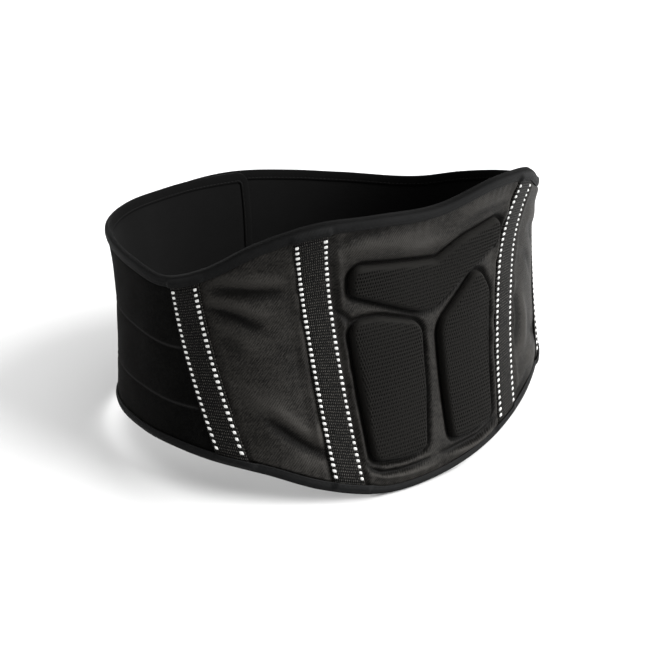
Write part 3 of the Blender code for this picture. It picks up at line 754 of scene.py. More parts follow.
class ClothMaterial:
    """A Principled material whose patterns are written as expressions on Numbers."""

    def __init__(self, name, roughness, specular=0.5, **constants):
        self.made = bpy.data.materials.new(name)
        self.made.use_nodes = True
        self.tree = self.made.node_tree
        self.shader = self.tree.nodes["Principled BSDF"]
        self.shader.inputs["Roughness"].default_value = roughness
        self.shader.inputs["Specular IOR Level"].default_value = specular
        for socket, value in constants.items():
            self.shader.inputs[socket.replace("_", " ").title()].default_value = value

    def node(self, kind, settings, inputs):
        """Any node: its settings first, then its sockets' values or links."""
        node = self.tree.nodes.new(kind)
        for key, value in settings.items():
            setattr(node, key, value)
        for key, value in inputs.items():
            if isinstance(value, Number):
                self.tree.links.new(value.socket, node.inputs[key])
            else:
                node.inputs[key].default_value = value
        return node

    def math(self, operation, *values):
        node = self.node("ShaderNodeMath", {"operation": operation}, dict(enumerate(values)))
        return Number(self, node.outputs[0])

    def layout(self):
        """The piece's flat lengths in millimetres, from its UV map."""
        uv = self.node("ShaderNodeUVMap", {"uv_map": "cloth"}, {})
        parts = self.node("ShaderNodeSeparateXYZ", {}, {"Vector": Number(self, uv.outputs["UV"])})
        return Number(self, parts.outputs["X"]) * 1000.0, Number(self, parts.outputs["Y"]) * 1000.0

    def place(self, x, y, z=0.0):
        node = self.node("ShaderNodeCombineXYZ", {}, {"X": x, "Y": y, "Z": z})
        return Number(self, node.outputs["Vector"])

    def noise(self, where, scale, detail=2.0, roughness=0.5):
        """Soft noise between about 0.2 and 0.8, with scale features to a unit of the place."""
        inputs = {"Vector": where, "Scale": scale, "Detail": detail, "Roughness": roughness}
        return Number(self, self.node("ShaderNodeTexNoise", {}, inputs).outputs["Fac"])

    def value(self, name):
        """A number that the mesh keeps at its points."""
        node = self.node("ShaderNodeAttribute", {"attribute_name": name}, {})
        return Number(self, node.outputs["Fac"])

    def object_place(self):
        node = self.node("ShaderNodeTexCoord", {}, {})
        return Number(self, node.outputs["Object"])

    def mix(self, share, low, high):
        """The colour low where share is 0 and high where it is 1."""
        low = low if isinstance(low, Number) else (*low, 1.0)
        high = high if isinstance(high, Number) else (*high, 1.0)
        settings = {"data_type": "RGBA", "clamp_factor": True}
        node = self.node("ShaderNodeMix", settings, {0: share, 6: low, 7: high})
        return Number(self, node.outputs[2])

    def shades(self, tone, base, dark, light):
        """The base colour times dark where the tone is 0 and times light where it is 1."""
        return self.mix(tone, shade(base, dark), shade(base, light))

    def colour(self, value):
        self.tree.links.new(value.socket, self.shader.inputs["Base Color"])

    def rough(self, value):
        self.tree.links.new(value.socket, self.shader.inputs["Roughness"])

    def relief(self, height, depth):
        """Bump: the height's 0 to 1 stands for this depth in metres."""
        inputs = {"Height": height, "Distance": depth, "Strength": 1.0}
        node = self.node("ShaderNodeBump", {}, inputs)
        self.tree.links.new(node.outputs["Normal"], self.shader.inputs["Normal"])


def shade(colour, factor):
    """A colour made lighter or darker."""
    return tuple(min(1.0, part * factor) for part in colour)


def satin_material(colours):
    """Satin: a fine slanted weave of shiny yarns, with lighter and darker patches at random, painted
    highlight on ridges and painted shade in creases and beside the pads.
    """
    tint = (0.9, 0.86, 0.82, 1.0)
    constants = {"sheen_weight": 0.008, "sheen_roughness": 0.35, "sheen_tint": tint}
    cloth = ClothMaterial("charcoal_satin_cloth", 0.5, 0.05, **constants)
    u, v = cloth.layout()
    patches = cloth.noise(cloth.place(u, v), 0.035, 3.0, 0.6)
    streaks = cloth.noise(cloth.place(u * 0.25, v), 0.30, 3.0, 0.6)
    slant = ((u * 0.8 + v * 0.6) * (2.0 * math.pi / 1.5)).sine()
    yarns = ((v * 0.96 - u * 0.28) * (2.0 * math.pi / 0.45)).sine()
    grain = cloth.noise(cloth.place(u * 0.8 + v * 0.6, v * 0.5), 0.95, 3.0, 0.75)
    crumple = cloth.noise(cloth.place(u * 0.6, v), 0.13, 2.0, 0.5)
    tone = patches * 0.25 + streaks * 0.20 + grain * 0.62 + slant * 0.03
    # The fold value is painted shading: painted shade in creases and beside the pads, painted highlight
    # on ridges.
    tone = tone + cloth.value("painted_fold_shading") * 0.36 - 0.215
    cloth.colour(cloth.shades(tone.between(0.36, 0.64), colours.satin, 0.25, 1.65))
    cloth.rough(0.36 + streaks * 0.12 + grain * 0.14 + yarns * 0.02)
    cloth.relief(slant * 0.3 + yarns * 0.2 + streaks * 1.2 + grain * 1.6 + crumple * 2.5, 0.00021)
    return cloth.made


def velour_material(colours):
    """Velour: short brushed pile in wales, mottled, with the pile parted along the sewn seams."""
    tint = (0.72, 0.70, 0.68, 1.0)
    constants = {"sheen_weight": 0.022, "sheen_roughness": 0.45, "sheen_tint": tint}
    cloth = ClothMaterial("black_velour_cloth", 0.95, 0.04, **constants)
    u, v = cloth.layout()
    tufts = cloth.noise(cloth.place(u, v), 1.1, 3.0, 0.65)
    lay = cloth.noise(cloth.place(u, v), 0.06, 2.0, 0.5)
    wales = (u * (2.0 * math.pi / 1.4) + tufts * 4.0).sine()
    rows = (v * (2.0 * math.pi / 1.9) + tufts * 3.0).sine()
    brushed = cloth.noise(cloth.place(u, v * 0.7), 0.35, 3.0, 0.7)
    tone = tufts * 0.5 + brushed * 0.8 + lay * 0.3 + wales * rows * 0.08 - 0.3
    pile = cloth.shades(tone.between(0.36, 0.64), colours.velour, 0.5, 1.7)
    cloth.colour(cloth.mix(cloth.value("seam"), pile, colours.seam))
    cloth.rough(0.9 + tufts * 0.1)
    cloth.relief(tufts * 1.2 + wales * rows * 0.25, 0.00022)
    return cloth.made


def lining_material(colours):
    """Lining: smooth fine jersey, with narrow wales."""
    cloth = ClothMaterial("black_lining_jersey", 0.8, 0.03, sheen_weight=0.02, sheen_roughness=0.5)
    u, v = cloth.layout()
    wales = (u * (2.0 * math.pi / 0.7)).sine()
    loops = (v * (2.0 * math.pi / 0.55) + wales).sine()
    cloudy = cloth.noise(cloth.place(u, v), 0.05, 3.0, 0.6)
    cloth.colour(cloth.shades(cloudy.between(0.25, 0.75), colours.lining, 0.85, 1.18))
    cloth.relief(wales * 0.4 + loops * 0.3 + cloudy, 0.00005)
    return cloth.made


def tape_material(colours):
    """Edge tape: a smooth knitted band with fine ribs across it, a little worn and fluffy. Over the rim
    and inside the belt it is painted darker than the lining, as painted shade."""
    cloth = ClothMaterial("black_edge_tape_cloth", 0.7, 0.06)
    u, v = cloth.layout()
    ribs = (u * (2.0 * math.pi / 0.85)).sine()
    courses = (v * (2.0 * math.pi / 0.6) + ribs * 0.8).sine()
    worn = cloth.noise(cloth.place(u, v), 0.12, 3.0, 0.6)
    fluff = cloth.noise(cloth.place(u, v), 0.7, 2.0, 0.6)
    tone = (worn * 0.6 + fluff * 0.4 + ribs * 0.08).between(0.25, 0.75)
    outside = cloth.shades(tone, colours.tape, 0.7, 1.4)
    # Painted shade: over the rim and on the inner leg the tape is painted at 0.35 to 0.60 of the
    # lining's colour.
    inside = cloth.shades(tone, colours.lining, 0.35, 0.60)
    cloth.colour(cloth.mix(cloth.value("inside"), outside, inside))
    cloth.rough(0.55 + worn * 0.15 + cloth.value("inside") * 0.3)
    cloth.relief(ribs * 0.6 + courses * 0.35, 0.00006)
    return cloth.made


def webbing_material(colours):
    """Webbing: rows of slanted yarns that lean one way and then the other, between plain selvedges, with
    painted highlight on the yarns' crests and painted shade between the rows.

    u is the place across the strip and v along it, in millimetres."""
    cloth = ClothMaterial("black_webbing_weave", 0.6, 0.07, sheen_weight=0.02, sheen_roughness=0.4)
    u, v = cloth.layout()
    row = v / (STRIP_RIB / MILLIMETRE)
    even = (row.floor() * 0.5).fraction() * 4.0 - 1.0
    part = row.fraction()
    lean = (part - 0.5) * even * 0.45
    yarn = ((u / 1.28 + lean) * (2.0 * math.pi)).sine() * 0.5 + 0.5
    belly = (part * math.pi).sine()
    fuzz = cloth.noise(cloth.place(u, v), 2.4, 2.0, 0.6)
    high = yarn * belly
    broken = cloth.noise(cloth.place(u, v), 0.9, 2.0, 0.6).between(0.36, 0.62)
    dusty = cloth.noise(cloth.place(u * 0.3, v), 0.35, 2.0, 0.5)
    tone = high * (broken * 0.8 + 0.35) + fuzz * 0.2 + dusty * 0.3 - 0.25
    # Painted highlight and shade: the colour rises to nine times the base on the yarns' crests, broken
    # at random, and falls to a quarter in the hollows between the rows.
    cloth.colour(cloth.shades(tone.between(0.34, 0.95), colours.webbing, 0.25, 9.0))
    cloth.rough(0.7 - high * 0.25)
    cloth.relief(high + fuzz * 0.25, 0.00042)
    return cloth.made


def mesh_material(colours):
    """Spacer mesh: staggered slits in a knitted face, where the piece has its dimples, painted near
    black: partly the dark layer under them and partly painted shade in the holes. The point value meshed
    keeps them off the pads' round edges."""
    cloth = ClothMaterial("dark_mesh_face", 0.75, 0.05, sheen_weight=0.010, sheen_roughness=0.45)
    u, v = cloth.layout()
    slit = mesh_slits(u, v) * cloth.value("meshed")
    yarns = ((u + v * 0.35) * (2.0 * math.pi / 0.62)).sine()
    fuzz = cloth.noise(cloth.place(u, v), 1.6, 2.0, 0.6)
    face = cloth.shades((fuzz + yarns * 0.12).between(0.25, 0.75), colours.mesh, 0.60, 1.60)
    # The slits are painted at six hundredths of the mesh's colour: partly the dark layer under them,
    # partly painted shade in the holes.
    cloth.colour(cloth.mix(slit, face, shade(colours.mesh, 0.06)))
    cloth.rough(0.72 + fuzz * 0.15)
    cloth.relief(yarns * 0.25 + fuzz * 0.4 - slit * 1.2, 0.00022)
    return cloth.made


def mesh_slits(u, v):
    """1 inside a slit and 0 on the yarns: an ellipse in each cell of a grid whose odd rows are
    shifted by half a cell."""
    row = v / MESH_ROW
    column = u / MESH_COLUMN + (row.floor() * 0.5).fraction()
    x = column.fraction() - 0.5
    y = row.fraction() - 0.5
    x = (x + y * SLIT_LEAN) / SLIT_HALF_WIDTH
    y = y / SLIT_HALF_LENGTH
    return 1.0 - (x * x + y * y).root().between(*SLIT_EDGE)


def slit_depth(around, height):
    """The same slits as mesh_slits, as whole arrays."""
    row = height / MILLIMETRE / MESH_ROW
    column = around / MILLIMETRE / MESH_COLUMN + 0.5 * np.mod(np.floor(row), 2.0)
    x = np.mod(column, 1.0) - 0.5
    y = np.mod(row, 1.0) - 0.5
    x = (x + y * SLIT_LEAN) / SLIT_HALF_WIDTH
    y = y / SLIT_HALF_LENGTH
    return 1.0 - ease((np.hypot(x, y) - SLIT_EDGE[0]) / (SLIT_EDGE[1] - SLIT_EDGE[0]))


def dash_material(colours):
    """Reflective thread: fine-grained silver, worn darker in places, that glows by its emission as
    painted light for the light that it gives back.
    """
    # The emission is painted light: the dashes glow though they are no lamp.
    constants = {"emission_strength": 0.44, "emission_color": (0.92, 0.92, 0.90, 1.0)}
    cloth = ClothMaterial("silver_reflective_thread", 0.35, **constants)
    where = cloth.object_place()
    grain = cloth.noise(where, 2600.0, 2.0, 0.6)
    worn = cloth.noise(where, 260.0, 2.0, 0.6)
    cloth.colour(cloth.shades((grain * 0.4 + worn * 0.6).between(0.32, 0.6), colours.dash, 0.40, 1.0))
    cloth.relief(grain, 0.00005)
    return cloth.made


def thread_material(colours):
    """Sewing thread: a fine grain of lighter and darker fibres."""
    cloth = ClothMaterial("black_sewing_thread", 0.7, 0.08)
    grain = cloth.noise(cloth.object_place(), 3000.0, 1.0, 0.5)
    cloth.colour(cloth.shades(grain.between(0.3, 0.7), colours.thread, 0.7, 1.3))
    return cloth.made


def hook_material(colours):
    """Hook tape: rows of small hooks, as a bumped grid."""
    cloth = ClothMaterial("black_hook_face", 0.7)
    u, v = cloth.layout()
    rows = (v * (2.0 * math.pi / 1.6)).sine()
    hooks = (u * (2.0 * math.pi / 1.1)).sine()
    cloth.colour(cloth.shades((rows * hooks).between(-0.6, 0.8), colours.hook, 0.6, 1.5))
    cloth.relief((rows * hooks).between(-0.2, 0.9), 0.0004)
    return cloth.made


class BeltSizes(bpy.types.PropertyGroup):
    """Sizes of the cloth that can be changed without changing the belt."""

    cover_step: bpy.props.FloatProperty(
        name="Cover Step", description="Distance between the cover's points",
        default=0.0020, unit="LENGTH", precision=5,
    )
    cover_fine_step: bpy.props.FloatProperty(
        name="Cover Fine Step", description="The same round the pads",
        default=0.00115, unit="LENGTH", precision=5,
    )
    wing_step: bpy.props.FloatProperty(
        name="Wing Step", description="Distance between the wings' points",
        default=0.0022, unit="LENGTH", precision=5,
    )
    tape_step: bpy.props.FloatProperty(
        name="Tape Step", description="Distance between the tape's points",
        default=0.0013, unit="LENGTH", precision=5,
    )
    pad_step: bpy.props.FloatProperty(
        name="Pad Step", description="Distance between the pads' points",
        default=0.00058, unit="LENGTH", precision=5,
    )
    field_puff: bpy.props.FloatProperty(
        name="Field Puff", description="How far the side fields stand out",
        default=0.0016, unit="LENGTH", precision=5,
    )
    swell: bpy.props.FloatProperty(
        name="Swell", description="Height of the slow swells",
        default=0.0006, unit="LENGTH", precision=5,
    )
    crease_share: bpy.props.FloatProperty(
        name="Crease Share", description="How much of the creases' depth is used",
        default=1.45, subtype="FACTOR",
    )
    gather: bpy.props.FloatProperty(
        name="Gather", description="Height of the puckers at the tape",
        default=0.0004, unit="LENGTH", precision=5,
    )
    strip_ridge: bpy.props.FloatProperty(
        name="Strip Ridge", description="Height of the cover's puff beside a strip",
        default=0.0013, unit="LENGTH", precision=5,
    )
    pad_wall: bpy.props.FloatProperty(
        name="Pad Wall", description="Height of the cover's rise round the pads",
        default=0.0018, unit="LENGTH", precision=5,
    )
    pad_moat: bpy.props.FloatProperty(
        name="Pad Moat", description="Depth of the groove round the pads",
        default=0.0016, unit="LENGTH", precision=5,
    )
    pad_top: bpy.props.FloatProperty(
        name="Pad Top", description="Height of the pads' faces",
        default=0.0043, unit="LENGTH", precision=5,
    )
    pad_crown: bpy.props.FloatProperty(
        name="Pad Crown", description="How much the pads' faces bulge",
        default=0.0009, unit="LENGTH", precision=5,
    )
    pad_shoulder: bpy.props.FloatProperty(
        name="Pad Shoulder", description="Width of the pads' round edges",
        default=0.0034, unit="LENGTH", precision=5,
    )
    slit_depth: bpy.props.FloatProperty(
        name="Slit Depth", description="Depth of the mesh's slits",
        default=0.00045, unit="LENGTH", precision=5,
    )
    seam_height: bpy.props.FloatProperty(
        name="Seam Height", description="Height of the wings' seams",
        default=0.0004, unit="LENGTH", precision=5,
    )
    dash_width: bpy.props.FloatProperty(
        name="Dash Width", description="A reflective dash across the strip",
        default=0.0026, unit="LENGTH", precision=5,
    )
    dash_length: bpy.props.FloatProperty(
        name="Dash Length", description="A reflective dash along the strip",
        default=0.0021, unit="LENGTH", precision=5,
    )
    dash_pitch: bpy.props.FloatProperty(
        name="Dash Pitch", description="From one dash to the next",
        default=0.00407, unit="LENGTH", precision=5,
    )
    stitch_length: bpy.props.FloatProperty(
        name="Stitch Length", description="Length of one stitch",
        default=0.0026, unit="LENGTH", precision=5,
    )
    stitch_pitch: bpy.props.FloatProperty(
        name="Stitch Pitch", description="From one stitch to the next",
        default=0.0034, unit="LENGTH", precision=5,
    )
    thread: bpy.props.FloatProperty(
        name="Thread", description="Thickness of the sewing thread",
        default=0.00036, unit="LENGTH", precision=5,
    )


class BeltColours(bpy.types.PropertyGroup):
    """The cloth's colours."""

    satin: bpy.props.FloatVectorProperty(
        name="Satin", description="Cover of the back",
        default=(0.0124, 0.0116, 0.0105), subtype="COLOR", min=0, max=1,
    )
    velour: bpy.props.FloatVectorProperty(
        name="Velour", description="Outside of the wings",
        default=(0.0014, 0.0014, 0.0013), subtype="COLOR", min=0, max=1,
    )
    seam: bpy.props.FloatVectorProperty(
        name="Seam", description="Parted pile at the seams",
        default=(0.014, 0.0138, 0.0136), subtype="COLOR", min=0, max=1,
    )
    lining: bpy.props.FloatVectorProperty(
        name="Lining", description="Inside of the belt",
        default=(0.0008, 0.0008, 0.0008), subtype="COLOR", min=0, max=1,
    )
    tape: bpy.props.FloatVectorProperty(
        name="Tape", description="Edge tape",
        default=(0.0046, 0.0047, 0.0048), subtype="COLOR", min=0, max=1,
    )
    webbing: bpy.props.FloatVectorProperty(
        name="Webbing", description="Strips over the stays",
        default=(0.0046, 0.0043, 0.0038), subtype="COLOR", min=0, max=1,
    )
    mesh: bpy.props.FloatVectorProperty(
        name="Mesh", description="Face of the pads",
        default=(0.0049, 0.0046, 0.0041), subtype="COLOR", min=0, max=1,
    )
    dash: bpy.props.FloatVectorProperty(
        name="Dash", description="Reflective dashes",
        default=(0.30, 0.30, 0.29), subtype="COLOR", min=0, max=1,
    )
    thread: bpy.props.FloatVectorProperty(
        name="Thread", description="Sewing thread",
        default=(0.0055, 0.0055, 0.0055), subtype="COLOR", min=0, max=1,
    )
    hook: bpy.props.FloatVectorProperty(
        name="Hook", description="Hook tape",
        default=(0.007, 0.007, 0.007), subtype="COLOR", min=0, max=1,
    )
    floor: bpy.props.FloatVectorProperty(
        name="Floor", description="The pale floor",
        default=(0.38, 0.38, 0.38), subtype="COLOR", min=0, max=1,
    )


class BELT_OT_back_cover(bpy.types.Operator):
    """Makes the padded back: satin outside, jersey inside"""

    bl_idname = "kidney_belt.back_cover"
    bl_label = "Back Cover"

    def execute(self, context):
        sizes = context.scene.belt_sizes
        fine = sizes.cover_fine_step
        half, tall = 0.15, 0.18
        across = graded(-1.0, 1.0, sizes.cover_step / half, ((-0.52, 0.52, fine / half),))
        finer = ((0.02, 0.14, 0.6 * fine / tall), (0.14, 0.90, fine / tall))
        share, level = np.meshgrid(across, graded(0.0, 1.0, sizes.cover_step / tall, finer))
        around = (strip_middle(OUTER_STRIP, 1.0 - level) - JOINT_GAP) * share
        low, high = in_from_edges(around, RIM_REACH)
        height = low + (high - low) * level
        rolled = JOINT_ROLL * bell((1.0 - np.abs(share)) * half, JOINT_ROLL_WIDTH)
        rolled = rolled + drawn_in(from_edges(around, height)[0])
        relief, tone = cover_relief(around, height, sizes)
        outer = on_belt(around, height, relief - rolled, RIM_REACH)
        inner = on_belt(around, height, -BACK_WALL + rolled, RIM_REACH)
        piece = closed_cloth("back_cover", outer, inner, around, height)
        # Keeps the satin's painted shading: painted shade in creases and beside the pads, painted
        # highlight on ridges.
        point_value(piece, "painted_fold_shading", tone)
        colours = context.scene.belt_colours
        dress(piece, "charcoal_satin", (satin_material(colours), lining_material(colours)), "back_panel")
        return {"FINISHED"}


def corner_cut(left_over, radius):
    """How far a round corner takes off the edge at a distance from the wing's end: a circle's rise."""
    inside = np.clip(radius - left_over, 0.0, radius)
    return radius - np.sqrt(radius**2 - inside**2)


def wing_grid(end, step):
    """The wing's flat grid: columns from the outer strip's middle line to the end, rows that are
    close together at the seams. It returns the places around, the heights, the shares up and the
    distances from the strip's middle line."""
    towards = math.copysign(1.0, end)
    radius = WING_CORNER - RIM_REACH
    last = end - towards * RIM_REACH
    bend = last - towards * radius
    run = np.linspace(0.0, 1.0, int(round((abs(bend) - OUTER_STRIP.foot) / step)) + 1)
    corner = np.sin(np.linspace(0.0, 0.5 * math.pi, 9))[1:]
    share = np.concatenate([run, np.ones(len(corner))])
    past = np.concatenate([np.zeros(len(run)), corner])
    reach, fine_step, tall = 0.024, 0.006, 0.12
    fine = [(seam - reach, seam + reach, fine_step) for seam in WING_SEAMS]
    share, up = np.meshgrid(share, graded(0.0, 1.0, step / tall, fine))
    past = np.broadcast_to(past, share.shape)
    start = towards * (strip_middle(OUTER_STRIP, 1.0 - up) + JOINT_GAP)
    around = start + (bend - start) * share + towards * radius * past
    cut = corner_cut(np.abs(last - around), radius)
    low, high = in_from_edges(around, RIM_REACH)
    low, high = low + cut, high - cut
    return around, low + (high - low) * up, up, np.abs(around - start)


class BELT_OT_wings(bpy.types.Operator):
    """Makes the two velour wings with their sewn seams and jersey lining"""

    bl_idname = "kidney_belt.wings"
    bl_label = "Wings"

    def execute(self, context):
        sizes = context.scene.belt_sizes
        colours = context.scene.belt_colours
        materials = (velour_material(colours), lining_material(colours))
        for node, end in (("left_wing", LEFT_END), ("right_wing", RIGHT_END)):
            around, height, up, run = wing_grid(end, sizes.wing_step)
            distance, _ = from_edges(around, height)
            from_end = np.abs(end - around)
            seam = sum(bell(up - place, SEAM_RIDGE) for place in WING_SEAMS)
            sink = sum(bell(up - place, SEAM_HOLLOW) for place in WING_SEAMS)
            open_face = ease((run - 0.5 * STRIP_WIDTH) / WING_EASE)
            open_face = open_face * ease((from_end - TAPE_WIDTH) / WING_EASE)
            open_face = open_face * (1.0 - ease(lap(around) / LAP_STEP))
            open_face = open_face * ease((distance - TAPE_WIDTH) / WING_EASE)
            ridge = sizes.seam_height * seam - SEAM_HOLLOW_DEPTH * sink
            swell = WING_SWELL * slack(around * 0.8, height * 0.9)
            rolled = JOINT_ROLL * bell(run, JOINT_ROLL_WIDTH) + drawn_in(np.minimum(distance, from_end))
            outward = (ridge + swell) * open_face - rolled - JOINT_GAP
            outer = on_belt(around, height, outward, RIM_REACH)
            inner = on_belt(around, height, -WING_WALL + rolled, RIM_REACH)
            piece = closed_cloth(node + "_cloth", outer, inner, around, height)
            point_value(piece, "seam", seam * open_face, 0.0 * seam)
            dress(piece, "black_velour", materials, node)
            tall = float(np.mean(height[-1] - height[0]))
        return {"FINISHED"}


def tape_path(edge, sign, step):
    """An edge from half way up the right wing's end to half way up the left one's, at even steps.

    It returns the places around, the heights, the direction that leads in from the edge, and the
    length along the path."""
    turn = np.linspace(0.0, 0.5 * math.pi, 24)[1:]
    halves = []
    for end in (RIGHT_END, LEFT_END):
        towards = math.copysign(1.0, end)
        bend = end - towards * WING_CORNER
        corner = bend + towards * WING_CORNER * np.sin(turn)
        around = np.concatenate([np.linspace(0.0, bend, 700), corner])
        height = edge(around) - sign * corner_cut(np.abs(end - around), WING_CORNER)
        middle = 0.5 * (upper_edge(end) + lower_edge(end)) + 0.5 * sign * EDGE_GAP
        rise = np.linspace(height[-1], middle, 60)[1:]
        around = np.concatenate([around, np.full(len(rise), end)])
        halves.append(np.stack([around, np.concatenate([height, rise])]))
    around, height = np.concatenate([halves[0][:, :0:-1], halves[1]], axis=1)
    length = np.concatenate([[0.0], np.cumsum(np.hypot(np.diff(around), np.diff(height)))])
    at = np.linspace(0.0, length[-1], int(round(length[-1] / step)) + 1)
    around = np.interp(at, length, around)
    height = np.interp(at, length, height)
    step_x = np.gradient(around)
    step_z = np.gradient(height)
    size = np.hypot(step_x, step_z)
    return around, height, sign * step_z / size, -sign * step_x / size, at


def over_strips(around, edge):
    """1 where the tape runs over a webbing strip's end, easing to 0 beside it."""
    down = 0.0 if edge is upper_edge else 1.0
    total = np.zeros(np.shape(around))
    for strip in STRIPS:
        gap = np.abs(around - strip_middle(strip, down))
        total = total + 1.0 - ease((gap - strip.half) / 0.0030)
    return total


def wall_at(around, edge):
    """The belt's thickness under the tape, which eases from the back's to the wings'."""
    joint = float(strip_middle(OUTER_STRIP, 0.0 if edge is upper_edge else 1.0))
    return BACK_WALL + (WING_WALL - BACK_WALL) * ease((np.abs(around) - joint) / WALL_EASE)


def tape_section(wall, lift, layer, shown):
    """A U round the edge: down one face, round the rim in two quarter circles and up the other, as rows
    of inward and outward distances. It is pressed in by a bell at the stitches and drawn in near the
    edge. layer is 0 for the tape's outside and 1 for its inside, and shown is its outer leg's width."""
    reach = TAPE_REACH - layer * TAPE_THICKNESS
    rim = layer * TAPE_THICKNESS
    radius = 0.0015 - 0.75 * rim
    leg = np.linspace(TAPE_WIDTH, radius + rim, 8)[:, None]
    turn = np.linspace(0.0, 0.5 * math.pi, 7)[1:, None]
    pressed = reach - 0.00035 * bell(leg - STITCH_PLACE, 0.0011) + 0.00012 * bell(leg - 0.0035, 0.002)
    pressed = pressed - 0.00035 * ease((leg - 0.0069) / 0.0006) * (1.0 - layer) - drawn_in(leg)
    near = rim + radius * (1.0 - np.sin(turn)) + 0.0 * wall
    round_rim = reach - radius * (1.0 - np.cos(turn)) - drawn_in(near)
    outer_leg = leg[-1] + (leg - leg[-1]) * shown / TAPE_WIDTH
    inner_leg = (leg + 0.0 * wall)[::-1]
    raised = pressed + lift * ease(1.6 * leg / TAPE_WIDTH)
    back = np.concatenate([round_rim[::-1], (pressed + 0.0 * wall)[::-1]])
    inward = np.concatenate([outer_leg, near, near[::-1], inner_leg])
    return inward, np.concatenate([raised, round_rim, -wall - back * INNER_TAPE_SHARE])


class BELT_OT_edge_tapes(bpy.types.Operator):
    """Makes the tape that is folded over the upper and the lower edge, with its stitching"""

    bl_idname = "kidney_belt.edge_tapes"
    bl_label = "Edge Tapes"

    def execute(self, context):
        sizes = context.scene.belt_sizes
        colours = context.scene.belt_colours
        tape = tape_material(colours)
        thread = thread_material(colours)
        edges = (("upper_binding", upper_edge, 1.0), ("lower_binding", lower_edge, -1.0))
        for node, edge, sign in edges:
            path_x, path_z, in_x, in_z, length = tape_path(edge, sign, sizes.tape_step)
            bulge = over_strips(path_x, edge) * OVER_STRIP
            wall = wall_at(path_x, edge)
            shown = tape_shown(path_x, sign)
            faces = []
            for layer in (0, 1):
                inward, outward = tape_section(wall, bulge, layer, shown)
                around = path_x + in_x * inward
                height = path_z + in_z * inward
                dimple = np.sin(2.0 * math.pi * length / sizes.stitch_pitch)
                near = bell(inward * TAPE_WIDTH / shown - STITCH_PLACE, 0.0012) * (1.0 - layer)
                outward = outward + 0.00010 * dimple * near * np.sign(outward + 0.5 * wall)
                faces.append(on_belt(around, height, outward, layer * TAPE_THICKNESS))
            # The texture's length across the tape is 22 mm, round both faces and the rim.
            steps = np.linspace(0.0, 0.022, len(inward))[:, None]
            piece = closed_cloth(node + "_tape", *faces, length, steps)
            # Painted shade: 0 on the tape's outer leg, rising over the rim to 1 towards the inner leg,
            # where the material paints the tape darker.
            inside = np.clip((np.arange(len(inward)) - 7.0) / 5.0, 0.0, 1.0)[:, None] + 0.0 * length
            point_value(piece, "inside", inside)
            dress(piece, "black_edge_tape", (tape, tape), node)
            name = node.replace("binding", "edge_stitches")
            dress(self.stitches(name, edge, sign, sizes), "black_edge_tape", (thread,))
        return {"FINISHED"}

    @staticmethod
    def stitches(name, edge, sign, sizes):
        """Two lines of stitches, one on each face: each stitch a spindle laid along the tape. Two are
        left out at each end of the path."""
        path = np.stack(tape_path(edge, sign, sizes.stitch_pitch)[:4], axis=-1)[2:-2]
        place, inward = path[:, :2], path[:, 2:]
        along = sign * np.stack([-inward[:, 1], inward[:, 0]], axis=-1)
        reach = TAPE_REACH - STITCH_SINK - float(drawn_in(STITCH_PLACE))
        outer = place + inward * (STITCH_PLACE * tape_shown(place[:, :1], sign) / TAPE_WIDTH)
        lift = over_strips(place[:, 0], edge) * OVER_STRIP
        sunk = -wall_at(place[:, 0], edge) - reach * INNER_TAPE_SHARE
        thread = (sizes.stitch_length, sizes.thread)
        top = spindles(outer, along, reach + lift, *thread, 1.0)
        under = spindles(place + inward * STITCH_PLACE, along, sunk, *thread, -1.0)
        return join_flat(name, [top, under])


def spindles(centre, along, outward, length, thickness, out):
    """One spindle per place: five rings whose radius falls to a quarter at its ends, which bow towards
    the cloth with the fourth power of the share along it. It returns the flat points (around, height,
    outward), one spindle's faces and its number of points."""
    share = np.array([-0.5, -0.34, 0.0, 0.34, 0.5])
    radius = 0.5 * thickness * np.array([0.25, 0.9, 1.0, 0.9, 0.25])
    sag = -0.00022 * (2.0 * share) ** 4
    turn = np.arange(6) * math.pi / 3.0
    across = np.stack([-along[:, 1], along[:, 0]], axis=-1)
    run = share[:, None] * length
    side = radius[:, None] * np.cos(turn)
    rise = radius[:, None] * np.sin(turn) * out + sag[:, None] * out
    flat = (
        centre[:, None, None, :]
        + along[:, None, None, :] * (run + 0.0 * side)[None, :, :, None]
        + across[:, None, None, :] * side[None, :, :, None]
    )
    outward = np.broadcast_to(outward, (len(centre),))
    lift = outward[:, None, None] + rise[None, :, :] + 0.0 * flat[..., 0]
    points = np.concatenate([flat, lift[..., None]], axis=-1)
    ring = np.arange(30).reshape(5, 6)
    after = np.roll(ring, -1, axis=1)
    sides = np.stack([ring[:-1], after[:-1], after[1:], ring[1:]], axis=-1).reshape(-1, 4)
    ends = np.array([[5, 4, 1, 0], [4, 3, 2, 1], [24, 25, 28, 29], [25, 26, 27, 28]])
    return points.reshape(-1, 3), np.concatenate([sides, ends]), 30


def join_flat(name, groups):
    """One mesh from groups: each the flat points of a shape's repeats, one repeat's faces and its
    number of points."""
    points, faces, start = [], [], 0
    for flat, face, size in groups:
        count = len(flat) // size
        points.append(flat)
        faces.append((face[None] + (start + size * np.arange(count))[:, None, None]).reshape(-1, 4))
        start += len(flat)
    points = np.concatenate(points)
    faces = np.concatenate(faces)
    places = on_belt(points[:, 0], points[:, 1], points[:, 2])
    return mesh_piece(name, places, faces, points[:, :2], np.zeros(len(faces), int))


def strip_grid(strip, across, down):
    """A strip's flat grid, from under the upper tape to under the lower one."""
    across, down = np.meshgrid(across, down)
    around = strip_middle(strip, down) + across
    low, high = in_from_edges(around, STRIP_END)
    return around, high + (low - high) * down, across, down


